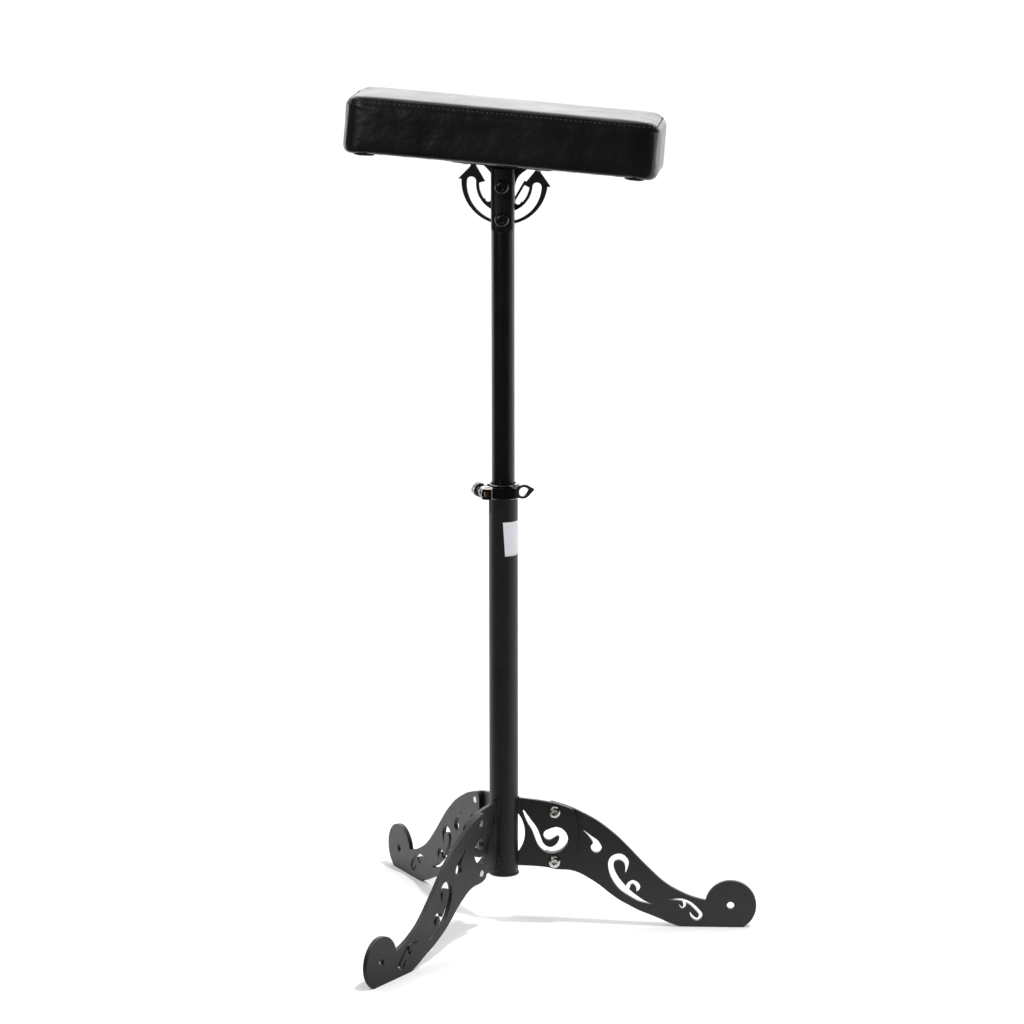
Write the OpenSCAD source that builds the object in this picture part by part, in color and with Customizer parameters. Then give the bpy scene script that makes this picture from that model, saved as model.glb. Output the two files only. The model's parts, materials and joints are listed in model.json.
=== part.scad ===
// Arm rest stand: a padded rest that tilts on a post, which slides and turns in a tube on three legs.
// Lengths are in millimetres. The origin is on the tube's axis at floor level, with +Z up and the
// first leg along +X.

/* [Tube] */
// Outside diameter of the outer tube
tube_od = 31.8; // [28:0.1:40]
// Wall of the outer tube
tube_wall = 1.5; // [1.2:0.1:2.5]
// Height of the outer tube's top above the floor
tube_top = 500; // [420:5:620]
// How far the outer tube reaches below the leg brackets
tube_drop = 8; // [4:1:20]
// Width of the slit that lets the tube's top close on the bush
tube_slit_w = 2; // [1:0.5:3]
// Depth of that slit
tube_slit_h = 30; // [15:1:45]

/* [Tube end cap] */
// How far the cap's rim stands out past the tube
cap_lip = 1.2; // [0.5:0.1:3]
// Height of the cap's rim
cap_rim_h = 3; // [2:0.5:6]
// Height of the part of the cap that goes into the tube
cap_plug_h = 14; // [8:1:30]
// Wall of the cap
cap_wall = 2; // [1:0.5:3]

/* [Legs] */
// Reach of a leg from the tube's axis
leg_reach = 280.5; // [240:0.5:360]
// Height of a leg at its bracket
leg_rise = 147; // [125:1:180]
// Thickness of the leg and bracket plates
plate_t = 5; // [3:0.5:8]
// Radius of the round end that a leg stands on
foot_r = 28.5; // [26:0.5:36]
// Height of the middle of that round end
foot_z = 25; // [20:0.5:26]
// Bore of the fixing hole in each foot
foot_hole_d = 8.4; // [4:0.1:12]
// Reach of the half-moon gap beside the tube, from the tube's axis
gap_reach = 23.4; // [21:0.1:26]
// Radius of the half-moon gap
gap_r = 36.5; // [32:0.5:42]

/* [Leg bolts] */
// Thread diameter of the leg bolts
leg_bolt_d = 8; // [5:0.5:10]
// Diameter of their heads
leg_head_d = 14; // [12:0.5:17]
// Height of their heads
leg_head_h = 4.4; // [3:0.1:6]

/* [Bush] */
// Length of the nylon bush inside the tube
bush_h = 60; // [35:1:90]
// Height of the bush's flange on the tube's top
bush_flange_h = 1.5; // [1:0.1:3]

/* [Clamp] */
// Turn of the clamp's ears from the first leg
clamp_turn = 207; // [0:1:359]
// Thickness of the clamp band
clamp_t = 1.95; // [1.5:0.05:3.5]
// Height of the clamp band
clamp_h = 16; // [14:0.5:22]
// Height of the inward lip at the band's top
clamp_lip_h = 1.5; // [1:0.1:3]
// How far that lip reaches in
clamp_lip_in = 1.9; // [1:0.1:2.2]
// Gap between the clamp's ears
clamp_gap = 3; // [2:0.5:5]
// Thickness of an ear
ear_t = 4; // [3:0.5:6]
// Radius of an ear's end
ear_r = 5.8; // [4.5:0.1:7]
// Distance of the skewer from the band
skewer_out = 7.1; // [6:0.1:10]
// Height of the skewer above the band's lower edge
skewer_rise = 9; // [7:0.5:11]
// Diameter of the skewer
skewer_d = 5; // [4:0.5:6]
// Thickness of the saddle that the lever's head turns in
saddle_t = 4; // [3:0.5:5]
// Width of the saddle
saddle_w = 10; // [8:0.5:12]
// Distance of the barrel's axis from the ear
barrel_out = 8.9; // [8.5:0.1:12]
// Diameter of the brass barrel
barrel_d = 8; // [7:0.5:9]
// Height of the brass barrel
barrel_h = 11; // [8:0.5:13]
// Diameter of the adjusting nut
clamp_nut_d = 16; // [12:0.5:20]
// Length of the adjusting nut
clamp_nut_h = 8.9; // [6:0.1:14]

/* [Clamp lever] */
// Diameter of the lever's head
lever_head_d = 14; // [12:0.5:15]
// Height of the lever
lever_h = 11.7; // [8:0.1:14]
// Space between the band and the lever's arm
arm_out = 6.1; // [5:0.1:7]
// Thickness of the lever's arm
arm_t = 3.5; // [2.5:0.5:4]
// Angle round the tube at which the arm turns straight
arm_end_turn = 95.5; // [80:0.5:110]
// Length of the straight tail with its finger loop
tail_l = 23.6; // [18:0.2:35]
// Thickness of the finger loop
loop_t = 3; // [2:0.5:4]
// Height of the finger loop
loop_h = 15.5; // [12:0.5:20]
// Rise of the tail, as an angle
tail_slant = 5; // [0:1:8]

/* [Post] */
// Outside diameter of the post
post_od = 25; // [22:0.1:26]
// Wall of the post
post_wall = 1.5; // [1:0.1:2.5]
// Length of the post
post_l = 550; // [480:5:700]
// Length of the post that shows above the tube
post_out = 348.5; // [250:0.5:400]
// Distance of the tilt pivot below the post's top
pivot_drop = 19.5; // [18:0.5:20.5]
// Thickness of the post's flattened top
flat_t = 18; // [16:0.5:20]
// How far the flats reach below the lower friction washer
flat_spare = 0.5; // [0:0.5:10]
// Length over which the round post runs into the flats
flat_run_h = 6; // [4:1:15]

/* [Guide plug] */
// Length of the plug's shoulder below the post
guide_h = 6; // [4:1:12]
// Length of the plug inside the post
guide_spigot_h = 25; // [15:1:40]
// Wall of the plug
guide_wall = 2; // [1.5:0.5:4]

/* [Tilt head] */
// Turn of the post in the tube, as it stands
swivel_rest = -4; // [-30:1:30]
// Tilt of the pad, as it stands
tilt_rest = 4.5; // [-20:0.5:20]
// Radius of the curved slot about the pivot
slot_r = 35.7; // [34:0.1:37]
// Width of the curved slot
slot_w = 10.2; // [9:0.1:11]
// Thickness of the tilt plate
tilt_plate_t = 4; // [3:0.5:6]
// Outside radius of the tilt plate's ring
ring_r = 46.8; // [45.8:0.1:48]
// Distance of the ring's middle above the pivot
ring_rise = 3; // [2:0.5:3.5]
// Width of the inner rib between the slot and the openings
rib_w = 3.2; // [2:0.1:4]
// Diameter of the pivot and lock bolts
tilt_bolt_d = 8; // [6:0.5:8.5]
// Diameter of their domed heads
tilt_head_d = 15.6; // [13:0.2:17]
// Height of their domed heads
tilt_head_h = 4.4; // [3:0.1:6]
// Diameter of the friction washers
friction_d = 15; // [13:0.5:17]
// Thickness of the friction washers
friction_t = 3.6; // [3.5:0.1:5]
// Diameter of the steel washers
washer_d = 18; // [16:0.5:20]
// Thickness of the steel washers
washer_t = 1.6; // [1:0.1:2.5]
// Width of the pivot nut across its flats
nut_w = 13; // [12:0.5:14]
// Height of the pivot nut
nut_h = 8; // [6:0.5:10]

/* [Lock handle] */
// Diameter of the handle's hub
hub_d = 16; // [14:0.5:18]
// Length of the handle's hub
hub_h = 12; // [10:0.5:16]
// Length of the handle from its bolt
handle_l = 44; // [34:1:45]
// Thickness of the handle's blade
handle_t = 2.5; // [2:0.5:5]
// Depth of the handle's blade
handle_w = 11.5; // [8:0.5:12]
// Turn of the handle from level, as it stands
handle_turn = 60; // [50:1:75]

/* [Mount plate] */
// Distance of the mount plate above the pivot
mount_rise = 24.4; // [24:0.2:34]
// Thickness of the mount plate
mount_t = 3; // [2:0.5:5]
// Length of the mount plate
mount_l = 110; // [96:1:150]
// Width of the mount plate
mount_w = 60; // [54:1:80]
// Corner radius of the mount plate
mount_corner = 6; // [2:0.5:12]
// Distance between the screws along the plate
screw_pitch_l = 80; // [70:1:84]
// Distance between the screws across the plate
screw_pitch_w = 44; // [43:1:46]
// Diameter of the screws
screw_d = 4.8; // [4:0.1:6]
// Length of the screws below their heads
screw_l = 12; // [9:0.5:13]
// Diameter of the screws' heads
screw_head_d = 9; // [7:0.5:10]
// Height of the screws' heads
screw_head_h = 1.6; // [1.2:0.1:3.5]

/* [Pad] */
// Length of the pad
pad_l = 340; // [280:1:480]
// Width of the pad
pad_w = 102; // [92:1:180]
// Height of the pad at its crown
pad_h = 62; // [45:1:90]
// Corner radius of the pad, seen from above
pad_corner = 18; // [12:1:30]
// How far the pad's middle lies beside the pivot
pad_shift = -1.5; // [-5:0.5:5]
// Thickness of the cover
cover_t = 1.2; // [0.8:0.1:2]
// Width of the cover that is turned in under the board
cover_hem = 14; // [10:0.5:16]
// How far the sides draw in between the corners
pad_draw = 1.6; // [0:0.1:4]
// Thickness of the board
board_t = 10; // [9:0.5:15]

/* [Label] */
// Distance of the label's upper edge below the tube's top
label_drop = 38; // [32:1:100]
// Height of the label
label_h = 38; // [20:1:45]
// Thickness of the label
label_t = 0.15; // [0.1:0.05:0.4]
// Turn from the first leg at which the label starts
label_from = -89; // [-180:1:180]
// Angle that the label covers
label_turn = 110; // [60:1:180]

/* [Fits] */
// Radial clearance of what slides or turns in a bore
run_fit = 0.05; // [0.03:0.01:0.09]
// Radial clearance of a bolt in its plain hole
hole_fit = 0.2; // [0.1:0.05:0.5]
// Radial clearance of a thread in its tapped hole
thread_fit = 0.03; // [0.02:0.01:0.05]
// Space between soft pieces and their neighbours
soft_gap = 0.3; // [0.2:0.05:0.5]

/* [Hidden] */
$fn = 64;

leg_count = 3;
leg_turns = [for (i = [1:leg_count]) 360 / leg_count * (i - 1)];

// What a cut runs past the face that it opens
overrun = plate_t / 5;

tube_r = tube_od / 2;
tube_bore_r = tube_r - tube_wall;
post_r = post_od / 2;
post_bore_r = post_r - post_wall;

// The legs' outlines are drawn in steps: this many to the reach and this many to the rise
leg_reach_shares = 28.05;
leg_rise_shares = 14.7;
leg_step = [leg_reach / leg_reach_shares, leg_rise / leg_rise_shares];

// Outline of a leg: its upper edge from the bracket to the foot, and its lower edge back again
leg_top_shares = [[4.6, 11.5], [4.6, 13.2], [4.75, 13.9], [5.2, 14.25], [5.9, 14.1], [6.74, 13.85],
    [7.62, 13.52], [8.38, 13.16], [9.49, 12.59], [10.6, 11.92], [11.71, 11.07], [12.83, 10.1],
    [13.94, 8.97], [15.05, 7.77], [16.17, 6.63], [17.29, 5.55], [18.4, 4.69], [19.52, 4.07],
    [20.63, 3.57], [21.74, 3.23], [22.6, 3.05]];
leg_heel_shares = [[24.6, 2.5], [24.6, 0]];
leg_low_shares = [[19.7, 0], [18.43, 0.41], [17.31, 0.92], [16.2, 1.37], [15.08, 1.81],
    [13.97, 2.38], [12.85, 3], [11.74, 3.8], [10.62, 4.71], [9.51, 5.45], [8.4, 6.07],
    [7.28, 6.4], [6, 6.45], [5.2, 6.6], [4.75, 6.9], [4.6, 7.6]];

// Outline of a leg bracket, which starts inside the tube and is cut to fit it
bracket_top_share = 14.95;
bracket_low_share = 7.1;
bracket_shares = [[0, bracket_top_share], [1.59, 14.76], [2.86, 14.61], [3.97, 14.48], [5.07, 14.29],
    [5.9, 14.1], [6.74, 13.85], [7.45, 13.57], [7.82, 13.2], [8, 12.6], [8.12, 11.68],
    [8.13, 9.96], [7.96, 8.57], [7.7, 7.3], [7.45, 6.8], [6.85, 6.62], [5.74, 6.7],
    [3.97, 6.91], [1.59, 7.02], [0, bracket_low_share]];
bracket_low = bracket_low_share * leg_step.y;
gap_mid_share = 10.77;
leg_bolt_shares = [[5.64, 13.18], [5.64, 7.5]];

// Scrolls cut through the plates: points of a line along the middle, each with half its width
hook_shares = [[2.15, 13.35, 0.08], [2.75, 12.2, 0.26], [3.4, 11.2, 0.31], [3.75, 10.3, 0.32],
    [4.1, 9.45, 0.31], [4.7, 8.92, 0.32], [5.4, 8.8, 0.38], [6.15, 9.15, 0.46],
    [6.6, 9.85, 0.5], [6.55, 10.55, 0.45], [5.9, 10.95, 0.52], [5, 10.55, 0.6]];
hook_heart_shares = [[4.2, 8.8], [5.4, 8.8], [6.15, 9.15], [6.6, 9.85], [6.55, 10.55], [5.9, 10.95],
    [5, 10.9], [4.2, 10.9]];
comma_shares = [[8.85, 10.95, 0.06], [9.6, 10.25, 0.13], [10.2, 9.6, 0.34], [10.25, 9, 0.6]];
crook_shares = [[13.51, 6.13, 0.03], [13.63, 6.8, 0.15], [13.55, 7.45, 0.3], [12.95, 7.95, 0.39],
    [12.15, 7.75, 0.35], [11.86, 7, 0.3], [12.22, 5.75, 0.37], [13.06, 4.55, 0.41], [13.96, 3.77, 0.32],
    [14.94, 3.12, 0.24], [15.7, 2.77, 0.12], [16.52, 2.53, 0.03]];
crook_branch_shares = [[13.45, 3.9, 0.2], [13.75, 4.35, 0.22], [13.88, 4.8, 0.22],
    [14.35, 5.08, 0.23], [14.85, 4.7, 0.26], [14.9, 4.25, 0.18], [14.75, 3.95, 0.03]];
curl_shares = [[18.3, 3.07, 0.03], [19.6, 3.1, 0.14], [20.6, 2.75, 0.18], [21.45, 2, 0.2],
    [21.9, 1.35, 0.2], [21.5, 0.85, 0.16], [20.95, 1.15, 0.16], [20.7, 1.65, 0.04]];
curl_barb_shares = [[20, 2.95, 0.15], [20.1, 2.4, 0.14], [19.75, 2.15, 0.1], [19.5, 2.55, 0.03]];
// Short steps that each stretch of a curve through the points is drawn in
curve_steps = 3;

// The clamp, in its own frame with the ears along +X
band_low = tube_top + bush_flange_h + clamp_lip_h - clamp_h;
band_r = tube_r + run_fit;
band_out_r = band_r + clamp_t;
skewer_x = band_out_r + skewer_out;
skewer_z = band_low + skewer_rise;
skewer_r = skewer_d / 2;
ear_y = clamp_gap / 2 + ear_t;
barrel_y = ear_y + barrel_out;
barrel_r = barrel_d / 2;
saddle_hollow_r = lever_head_d / 2 + thread_fit * 3;
nut_face_y = -ear_y - clamp_nut_h;
arm_r = band_out_r + arm_out;
arm_start_turn = atan2(barrel_y, skewer_x);
// The lever's head is open over this sector, so that it can swing past the skewer
lever_swing = 150;
fork_side = asin((skewer_r + run_fit) / barrel_r) + 1;
fork_turn = [-90 - fork_side, lever_swing - 90 + fork_side];
fork_h = skewer_d + run_fit * 10;
// Finger loop: its outline and its hole, from the arm's end outwards and up from the middle
loop_shares = [[-0.1, 0.36], [0.12, 0.37], [0.27, 0.45], [0.44, 0.5], [0.62, 0.43], [0.84, 0.2],
    [0.97, 0.06], [1, 0]];
loop_hole_shares = [[0.17, 0], [0.2, 0.17], [0.29, 0.28], [0.42, 0.32], [0.56, 0.26], [0.68, 0.11],
    [0.72, 0]];

// The head, in a frame at the pivot with +Y towards the plate's side
pivot_z = tube_top + post_out - pivot_drop;
flat_y = flat_t / 2;
flat_h = pivot_drop + slot_r + friction_d / 2 + flat_spare;
plate_y = flat_y + friction_t;
back_y = plate_y + tilt_plate_t;
nut_y = back_y + washer_t;
tilt_bolt_r = tilt_bolt_d / 2;
rib_r = slot_r - slot_w / 2 - rib_w;
// Points of the tilt plate, in steps of which this many make the slot's radius
slot_shares = 3.57;
tilt_step = slot_r / slot_shares;
barb_z_share = 0.16;
arrow_shares = [[3.45, -0.4], [4.45, 0.1], [5.03, 0.18], [3.8, 1.65], [3.84, 2.1], [4.05, 2.3],
    [4.4, 2.44], [2.7, 2.44], [3.05, 2.3], [3.25, 2.1], [3.22, 1.75], [2.1, 0.13], [2.5, 0]];
neck_shares = [[1.36, -1.75], [1.24, -1.2], [1.16, -0.6], [1.16, -0.1], [1.23, 0.35],
    [1.42, 0.85], [1.75, 1.3], [2.2, 1.7], [2.6, 2], [2.85, 2.22], [3.05, 2.44]];
web_z_share = -1.75;
web_eye_shares = [1.62, -1.75];
web_eye_r_share = 0.325;

// The pad, in a frame at the pivot that tilts with it
pad_z = mount_rise + mount_t;
// Section of the pad's skin from its hem to the crown: the inset as a share of the width, the
// height as a share of the height, and the draw as a share of its own size
skin_shares = [[0.029, 0, 0.3], [0.008, 0.02, 0.4], [0, 0.056, 0.5], [0.0025, 0.33, 0.9],
    [0.006, 0.68, 1], [0.008, 0.83, 0.9], [0.013, 0.855, 0.85], [0.008, 0.88, 0.8],
    [0.011, 0.92, 0.8], [0.027, 0.955, 0.7], [0.058, 0.969, 0.6], [0.15, 0.985, 0.3],
    [0.317, 0.997, 0.1]];
skin_rows = len(skin_shares);
skin_low_row = 3;
// Points of the skin's outline round a corner, along a long side and along a short side
corner_count = 5;
long_count = 7;
short_count = 3;
ring_count = 4 * corner_count + 2 * long_count + 2 * short_count;

// A smooth curve through points: its value a share t of the way from b to c
function between(a, b, c, d, t) =
    (2 * b + (c - a) * t + (2 * a - 5 * b + 4 * c - d) * t ^ 2 + (3 * b - a - 3 * c + d) * t ^ 3) / 2;

// A smooth open curve through points
function curve(p) = concat(
    [for (i = [0:len(p) - 2], k = [0:curve_steps - 1])
        between(p[max(i - 1, 0)], p[i], p[i + 1], p[min(i + 2, len(p) - 1)], k / curve_steps)],
    [p[len(p) - 1]]);

// Points given in a leg's steps, as lengths
function on_leg(p) = [for (s = p) [s.x * leg_step.x, s.y * leg_step.y]];

// Points given in the tilt plate's steps, as lengths
function on_tilt(p) = p * tilt_step;

// Unit direction of a curve at each of its points
function heading(q) = [for (i = [0:len(q) - 1])
    let (d = q[min(i + 1, len(q) - 1)] - q[max(i - 1, 0)]) [d.x, d.y] / norm([d.x, d.y])];

// Outline of a scroll that follows a curve with a changing half width
function scroll_edge(q, h, side) = [for (i = [0:len(q) - 1])
    [q[i].x - side * h[i].y * q[i].z, q[i].y + side * h[i].x * q[i].z]];
function reversed(p) = [for (i = [len(p) - 1:-1:0]) p[i]];
function scroll_outline(q) = let (h = heading(q))
    concat(scroll_edge(q, h, 1), reversed(scroll_edge(q, h, -1)));

module scroll(shares) {
    steps = [for (s = shares) [s.x * leg_step.x, s.y * leg_step.y, s.z * leg_step.x]];
    tail = steps[len(steps) - 1];
    polygon(scroll_outline(curve(steps)));
    translate([tail.x, tail.y]) circle(r = tail.z, $fn = 32);
}

// Stands a flat outline up in the XZ plane, from y over a thickness t
module upright(y, t) {
    translate([0, y + t, 0]) rotate([90, 0, 0]) linear_extrude(t) children();
}

// Lays a shape that is built along +Z along +Y, from y
module along_y(y) {
    translate([0, y, 0]) rotate([-90, 0, 0]) children();
}

// Domed bolt head with a hexagon socket, on the plane z = 0
module domed_head(d, h) {
    flat_r = d * 0.22;
    rim_h = h * 0.2;
    key_d = d * 0.36;
    difference() {
        rotate_extrude() polygon(concat([[0, 0], [d / 2, 0]],
            [for (a = [0:18:90]) [flat_r + (d / 2 - flat_r) * cos(a), rim_h + (h - rim_h) * sin(a)]],
            [[0, h]]));
        translate([0, 0, h * 0.45]) cylinder(d = key_d, h = h, $fn = 6);
    }
}

module washer(outer_d, inner_r, t) {
    difference() {
        cylinder(d = outer_d, h = t);
        translate([0, 0, -overrun]) cylinder(r = inner_r, h = t + 2 * overrun);
    }
}

module rounded_plate(l, w, r) {
    for (x = [-1, 1], y = [-1, 1]) translate([x * (l / 2 - r), y * (w / 2 - r)]) circle(r = r);
    square([l, w - 2 * r], center = true);
    square([l - 2 * r, w], center = true);
}

module at_clamp() {
    rotate([0, 0, clamp_turn]) children();
}

module at_head() {
    translate([0, 0, pivot_z]) rotate([0, 0, swivel_rest]) children();
}

module at_lock() {
    at_head() translate([0, 0, -slot_r]) children();
}

module at_tilt() {
    at_head() rotate([0, tilt_rest, 0]) children();
}

module at_pad() {
    at_tilt() translate([pad_shift, 0, pad_z]) children();
}

module at_screws() {
    for (x = [-1, 1], y = [-1, 1])
        translate([x * screw_pitch_l / 2, y * screw_pitch_w / 2, mount_rise]) children();
}

module outer_tube() {
    tube_low = bracket_low - tube_drop;
    color("#1c1c1e") difference() {
        translate([0, 0, tube_low]) cylinder(r = tube_r, h = tube_top - tube_low);
        translate([0, 0, tube_low - overrun])
            cylinder(r = tube_bore_r, h = tube_top - tube_low + 2 * overrun);
        at_clamp() translate([0, -tube_slit_w / 2, tube_top - tube_slit_h])
            cube([tube_od, tube_slit_w, tube_slit_h + overrun]);
    }
}

module tube_end_cap() {
    tube_low = bracket_low - tube_drop;
    rim_r = tube_r + cap_lip;
    plug_r = tube_bore_r - run_fit;
    edge = cap_rim_h / 3;
    color("#232325") translate([0, 0, tube_low - cap_rim_h]) rotate_extrude() polygon([
        [0, 0], [rim_r - 2 * edge, 0], [rim_r - edge / 2, edge / 2], [rim_r, edge * 1.5],
        [rim_r - edge / 4, cap_rim_h - edge / 4], [rim_r - edge, cap_rim_h],
        [plug_r, cap_rim_h], [plug_r, cap_rim_h + cap_plug_h],
        [plug_r - cap_wall, cap_rim_h + cap_plug_h], [plug_r - cap_wall, cap_wall], [0, cap_wall]]);
}

module leg_bracket(i) {
    mid_z = gap_mid_share * leg_step.y;
    color("#1a1a1c") rotate([0, 0, leg_turns[i]]) difference() {
        upright(-plate_t / 2, plate_t) difference() {
            polygon(curve(on_leg(bracket_shares)));
            translate([gap_reach - gap_r, mid_z]) circle(r = gap_r);
            scroll(hook_shares);
        }
        cylinder(r = tube_r, h = tube_top);
        for (p = on_leg(leg_bolt_shares)) translate([p.x, 0, p.y])
            along_y(-plate_t) cylinder(d = leg_bolt_d + 2 * hole_fit, h = 2 * plate_t);
    }
}

module leg_outline() {
    foot = [leg_reach - foot_r, foot_z];
    difference() {
        union() {
            polygon(reversed(concat(curve(on_leg(leg_top_shares)), on_leg(leg_heel_shares),
                curve(on_leg(leg_low_shares)))));
            difference() {
                translate(foot) circle(r = foot_r);
                translate([foot.x - 2 * foot_r, -2 * foot_r]) square([4 * foot_r, 2 * foot_r]);
            }
        }
        scroll(hook_shares);
        polygon(on_leg(hook_heart_shares));
        scroll(comma_shares);
        scroll(crook_shares);
        scroll(crook_branch_shares);
        scroll(curl_shares);
        scroll(curl_barb_shares);
    }
}

module leg(i) {
    color("#1a1a1c") rotate([0, 0, leg_turns[i]]) difference() {
        upright(plate_t / 2, plate_t) leg_outline();
        translate([leg_reach - foot_r, 0, foot_z])
            along_y(0) cylinder(d = foot_hole_d, h = 2 * plate_t);
        for (p = on_leg(leg_bolt_shares)) translate([p.x, 0, p.y])
            along_y(0) cylinder(d = leg_bolt_d + 2 * thread_fit, h = 2 * plate_t);
    }
}

module leg_bolts() {
    color("#b9b9bb") for (turn = leg_turns, p = on_leg(leg_bolt_shares))
        rotate([0, 0, turn]) translate([p.x, 0, p.y]) {
            along_y(-plate_t / 2) cylinder(d = leg_bolt_d, h = 2 * plate_t);
            along_y(-plate_t / 2) mirror([0, 0, 1]) domed_head(leg_head_d, leg_head_h);
        }
}

module reducer_bush() {
    color("#2b2b2d") translate([0, 0, tube_top - bush_h]) difference() {
        union() {
            cylinder(r = tube_bore_r - run_fit, h = bush_h);
            translate([0, 0, bush_h]) cylinder(r = tube_r, h = bush_flange_h);
        }
        translate([0, 0, -overrun])
            cylinder(r = post_r + run_fit, h = bush_h + bush_flange_h + 2 * overrun);
        at_clamp() translate([0, -tube_slit_w / 2, -overrun])
            cube([tube_od, tube_slit_w, bush_h + bush_flange_h + 2 * overrun]);
    }
}

module tube_label() {
    color("#e9e9ec") translate([0, 0, tube_top - label_drop - label_h]) rotate([0, 0, label_from])
        rotate_extrude(angle = label_turn) translate([tube_r + run_fit, 0]) square([label_t, label_h]);
}

module ear_outline() {
    polygon([[band_r + clamp_t / 2, band_low], [skewer_x, skewer_z - ear_r],
        [skewer_x, skewer_z + ear_r], [band_r + clamp_t / 2, band_low + clamp_h - clamp_lip_h]]);
    translate([skewer_x, skewer_z]) circle(r = ear_r);
}

module clamp_band() {
    edge = clamp_lip_h / 2;
    color("#141416") at_clamp() difference() {
        union() {
            translate([0, 0, band_low]) rotate_extrude() polygon([
                [band_r, 0], [band_out_r - edge, 0], [band_out_r, edge],
                [band_out_r, clamp_h - edge], [band_out_r - edge, clamp_h],
                [band_r - clamp_lip_in, clamp_h], [band_r - clamp_lip_in, clamp_h - clamp_lip_h],
                [band_r, clamp_h - clamp_lip_h]]);
            for (y = [-ear_y, ear_y - ear_t]) upright(y, ear_t) ear_outline();
        }
        translate([0, -clamp_gap / 2, band_low - overrun])
            cube([2 * skewer_x, clamp_gap, clamp_h + ear_r + 2 * overrun]);
        translate([skewer_x, 0, skewer_z]) along_y(-2 * ear_y)
            cylinder(r = skewer_r + hole_fit, h = 4 * ear_y);
    }
}

module clamp_skewer() {
    color("#a9a9ab") at_clamp() translate([skewer_x, 0, skewer_z])
        along_y(nut_face_y - overrun) cylinder(r = skewer_r, h = barrel_y - nut_face_y + skewer_r);
}

module clamp_barrel() {
    color("#b8774f") at_clamp() difference() {
        translate([skewer_x, barrel_y, skewer_z - barrel_h / 2])
            cylinder(r = barrel_r, h = barrel_h);
        translate([skewer_x, 0, skewer_z]) along_y(nut_face_y)
            cylinder(r = skewer_r + thread_fit, h = barrel_y - nut_face_y + skewer_r);
    }
}

module clamp_saddle() {
    color("#3a3a3d") at_clamp() difference() {
        translate([skewer_x - saddle_w / 2, ear_y, skewer_z - lever_h / 2])
            cube([saddle_w, saddle_t, lever_h]);
        translate([skewer_x, barrel_y, skewer_z - lever_h])
            cylinder(r = saddle_hollow_r, h = 2 * lever_h);
        translate([skewer_x, 0, skewer_z]) along_y(0)
            cylinder(r = skewer_r + hole_fit, h = barrel_y);
    }
}

module clamp_nut() {
    flange_h = clamp_nut_h * 0.28;
    groove_h = clamp_nut_h * 0.14;
    groove_r = clamp_nut_d * 0.36;
    head_r = clamp_nut_d / 2;
    edge = clamp_nut_h / 8;
    color("#8f8f92") at_clamp() translate([skewer_x, 0, skewer_z]) along_y(-ear_y)
        mirror([0, 0, 1]) difference() {
            rotate_extrude() polygon([[0, 0], [head_r - edge, 0], [head_r - edge / 2, edge / 2],
                [head_r - edge / 2, flange_h], [groove_r, flange_h],
                [groove_r, flange_h + groove_h], [head_r, flange_h + groove_h],
                [head_r, clamp_nut_h - edge], [head_r - edge, clamp_nut_h], [0, clamp_nut_h]]);
            translate([0, 0, -overrun])
                cylinder(r = skewer_r + thread_fit, h = clamp_nut_h + 2 * overrun);
        }
}

module loop_outline(shares) {
    upper = curve([for (s = shares) [s.x * tail_l, s.y * loop_h]]);
    polygon(concat(upper, [for (i = [len(upper) - 1:-1:0]) if (upper[i].y > 0)
        [upper[i].x, -upper[i].y]]));
}

// The lever seen along its barrel: a round head with an arm that follows the band
module lever_outline() {
    span = 2 * (arm_r + arm_t);
    translate([skewer_x, barrel_y]) circle(d = lever_head_d);
    difference() {
        circle(r = arm_r + arm_t);
        circle(r = arm_r);
        rotate(arm_start_turn) translate([-span, -span]) square([2 * span, span]);
        rotate(arm_end_turn) translate([-span, 0]) square([2 * span, span]);
    }
}

module clamp_lever() {
    color("#131315") at_clamp() difference() {
        union() {
            translate([0, 0, skewer_z - lever_h / 2]) linear_extrude(lever_h) lever_outline();
            rotate([0, 0, arm_end_turn]) translate([arm_r + (arm_t - loop_t) / 2, 0, skewer_z])
                rotate([tail_slant, 0, 0]) rotate([0, 0, 90]) upright(-loop_t, loop_t)
                difference() {
                    loop_outline(loop_shares);
                    loop_outline(loop_hole_shares);
                }
        }
        translate([skewer_x, barrel_y, skewer_z - lever_h])
            cylinder(r = barrel_r + run_fit, h = 2 * lever_h);
        translate([skewer_x, barrel_y, skewer_z - fork_h / 2]) rotate([0, 0, fork_turn[0]])
            rotate_extrude(angle = fork_turn[1] - fork_turn[0]) square([lever_head_d, fork_h]);
    }
}

module guide_plug() {
    spigot_r = post_bore_r - run_fit;
    post_low = tube_top + post_out - post_l;
    color("#2b2b2d") translate([0, 0, post_low - guide_h]) difference() {
        union() {
            cylinder(r = tube_bore_r - run_fit, h = guide_h);
            cylinder(r = spigot_r, h = guide_h + guide_spigot_h);
        }
        translate([0, 0, guide_wall])
            cylinder(r = spigot_r - guide_wall, h = guide_h + guide_spigot_h);
    }
}

// Side view of the post, narrowed by a wall t where it is pressed flat
module post_side(t) {
    low = tube_top + post_out - post_l - pivot_z;
    run = pivot_drop - flat_h;
    polygon([[-post_r, low - t], [post_r, low - t], [post_r, run - flat_run_h],
        [flat_y - t, run], [flat_y - t, pivot_drop + t], [t - flat_y, pivot_drop + t],
        [t - flat_y, run], [-post_r, run - flat_run_h]]);
}

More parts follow.
